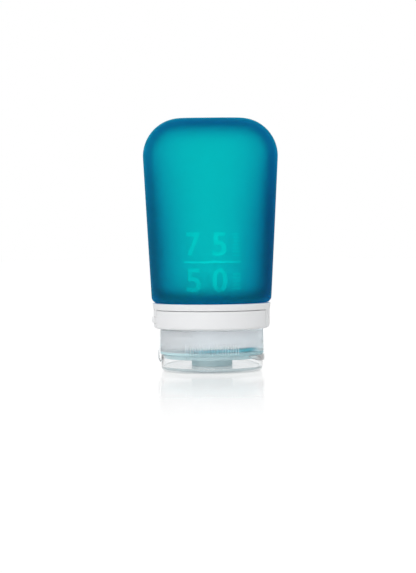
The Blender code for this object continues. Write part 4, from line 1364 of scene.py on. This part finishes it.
class TUBE_OT_stage(bpy.types.Operator):
    """Set the camera, the floor, the lamps and the room's light"""
    bl_idname = "travel_tube.stage"
    bl_label = "Stage"

    def execute(self, context):
        size = context.scene.tube_stage
        self.camera(context, size)
        self.floor(size)
        self.world(context, size)
        self.lamps(size)
        context.scene.view_settings.view_transform = "Standard"
        return {"FINISHED"}

    def camera(self, context, size):
        """Stand the camera where the photograph was taken from."""
        data = bpy.data.cameras.new("camera")
        data.lens = size.lens
        camera = link(bpy.data.objects.new("camera", data))
        camera.location = (-size.aside, -size.distance, size.height)
        look = Euler((math.pi / 2 - size.tilt, 0, 0)).to_matrix()
        camera.rotation_euler = (look @ Matrix.Rotation(-size.roll, 3, "Z")).to_euler()
        context.scene.camera = camera

    def floor(self, size):
        """Lay a pale floor with a faint gloss, white to the camera."""
        shape = bmesh.new()
        bmesh.ops.create_grid(shape, x_segments=1, y_segments=1, size=size.floor_size / 2)
        floor = add_piece("floor", finish_mesh("floor", shape), self.floor_material())

    def floor_material(self):
        """Return a pale floor that keeps shadows and a faint mirror image, looks white, and has painted
        shadow under the lid and the spout.
        """
        material, tree, shader, output = new_material("pale_floor")
        pale = (0.85, 0.85, 0.85, 1)
        feed(tree, shader, {"Base Color": pale, "Roughness": 0.8, "Specular IOR Level": 0.0})
        place = object_place(tree)
        reach = add_node(tree, "ShaderNodeVectorMath", {0: place}, operation="LENGTH").outputs["Value"]
        # Painted shadow: the floor's white glow is dimmed under the lid, and more, tinted teal, under the
        # spout.
        painted_lid_shadow = step_between(tree, reach, 20 * MM, 18.5 * MM)
        painted_spout_shadow = step_between(tree, reach, 10 * MM, 6 * MM)
        white, painted_shadow_teal = (1, 1, 1), (0.72, 0.93, 1.0)
        tone = blend(tree, painted_spout_shadow, white, painted_shadow_teal)
        glow = add_node(tree, "ShaderNodeEmission", {"Color": tone, "Strength": 1.06})
        whiteness = less(tree, 0.9, (painted_lid_shadow, 0.22), (painted_spout_shadow, 0.45))
        share = calculate(tree, "MULTIPLY", seen_share(tree), whiteness)
        lit = mix_shaders(tree, share, shader.outputs["BSDF"], glow.outputs["Emission"])
        gloss = add_node(tree, "ShaderNodeBsdfGlossy", {"Color": (1, 1, 1, 1), "Roughness": 0.1})
        ends = {"Value": reach, "From Min": 0.02, "From Max": 0.2, "To Min": 0.4, "To Max": 0.0}
        fade = add_node(tree, "ShaderNodeMapRange", ends, interpolation_type="SMOOTHSTEP")
        mirror = mix_shaders(tree, fade.outputs["Result"], lit, gloss.outputs["BSDF"])
        feed(tree, output, {"Surface": mirror})
        return material

    def world(self, context, size):
        """Light the room evenly, and show it white to the camera, in gloss and through glass."""
        world = bpy.data.worlds.new("room")
        context.scene.world = world
        world.use_nodes = True
        tree = world.node_tree
        tree.nodes.clear()
        ambient, white = [
            add_node(tree, "ShaderNodeBackground", {"Color": (1, 1, 1, 1), "Strength": strength})
            for strength in (size.ambient, 1.0)
        ]
        seen = seen_share(tree)
        light = mix_shaders(tree, seen, ambient.outputs["Background"], white.outputs["Background"])
        add_node(tree, "ShaderNodeOutputWorld", {"Surface": light})

    def lamps(self, size):
        """Hang soft boxes by the camera and at both sides, the right one weaker."""
        middle = Vector((0, 0, CAD_BOX[1].z / 2))
        right_share = 0.6
        boxes = (
            ("front_box", (-0.2, -0.93, 0.45), 0.7, size.front_power),
            ("left_box", (-0.9, -0.1, 0.5), 0.5, size.side_power),
            ("right_box", (0.9, 0.1, 0.5), 0.5, size.side_power * right_share),
        )
        for name, place, side, power in boxes:
            data = bpy.data.lights.new(name, "AREA")
            data.size = side
            data.energy = power
            lamp = link(bpy.data.objects.new(name, data))
            lamp.location = place
            lamp.rotation_euler = (middle - Vector(place)).to_track_quat("-Z", "Y").to_euler()


class TUBE_PT_panel(bpy.types.Panel):
    """Lists the tube's settings and the buttons that build its pieces"""
    bl_label = "Travel Tube"
    bl_idname = "TUBE_PT_panel"
    bl_space_type = "VIEW_3D"
    bl_region_type = "UI"
    bl_category = "Travel Tube"

    def draw(self, context):
        for name, group in SETTINGS.items():
            box = self.layout.box()
            box.label(text=group.__doc__)
            for key in group.__annotations__:
                box.prop(getattr(context.scene, name), key)
        for operator in OPERATORS:
            self.layout.operator(operator.bl_idname)


OPERATORS = (
    TUBE_OT_bottle,
    TUBE_OT_collar,
    TUBE_OT_strap,
    TUBE_OT_cap,
    TUBE_OT_lid,
    TUBE_OT_valve,
    TUBE_OT_stage,
)


def register():
    """Register the classes and hang the settings on the scene."""
    for group in (*SETTINGS.values(), *OPERATORS, TUBE_PT_panel):
        bpy.utils.register_class(group)
    for name, group in SETTINGS.items():
        setattr(bpy.types.Scene, name, PointerProperty(type=group))


def unregister():
    """Take the settings and the classes away again."""
    for name in SETTINGS:
        delattr(bpy.types.Scene, name)
    for group in reversed((*SETTINGS.values(), *OPERATORS, TUBE_PT_panel)):
        bpy.utils.unregister_class(group)


def main():
    """Build the whole scene."""
    register()
    for operator in OPERATORS:
        section, name = operator.bl_idname.split(".")
        getattr(getattr(bpy.ops, section), name)()


if __name__ == "__main__":
    main()
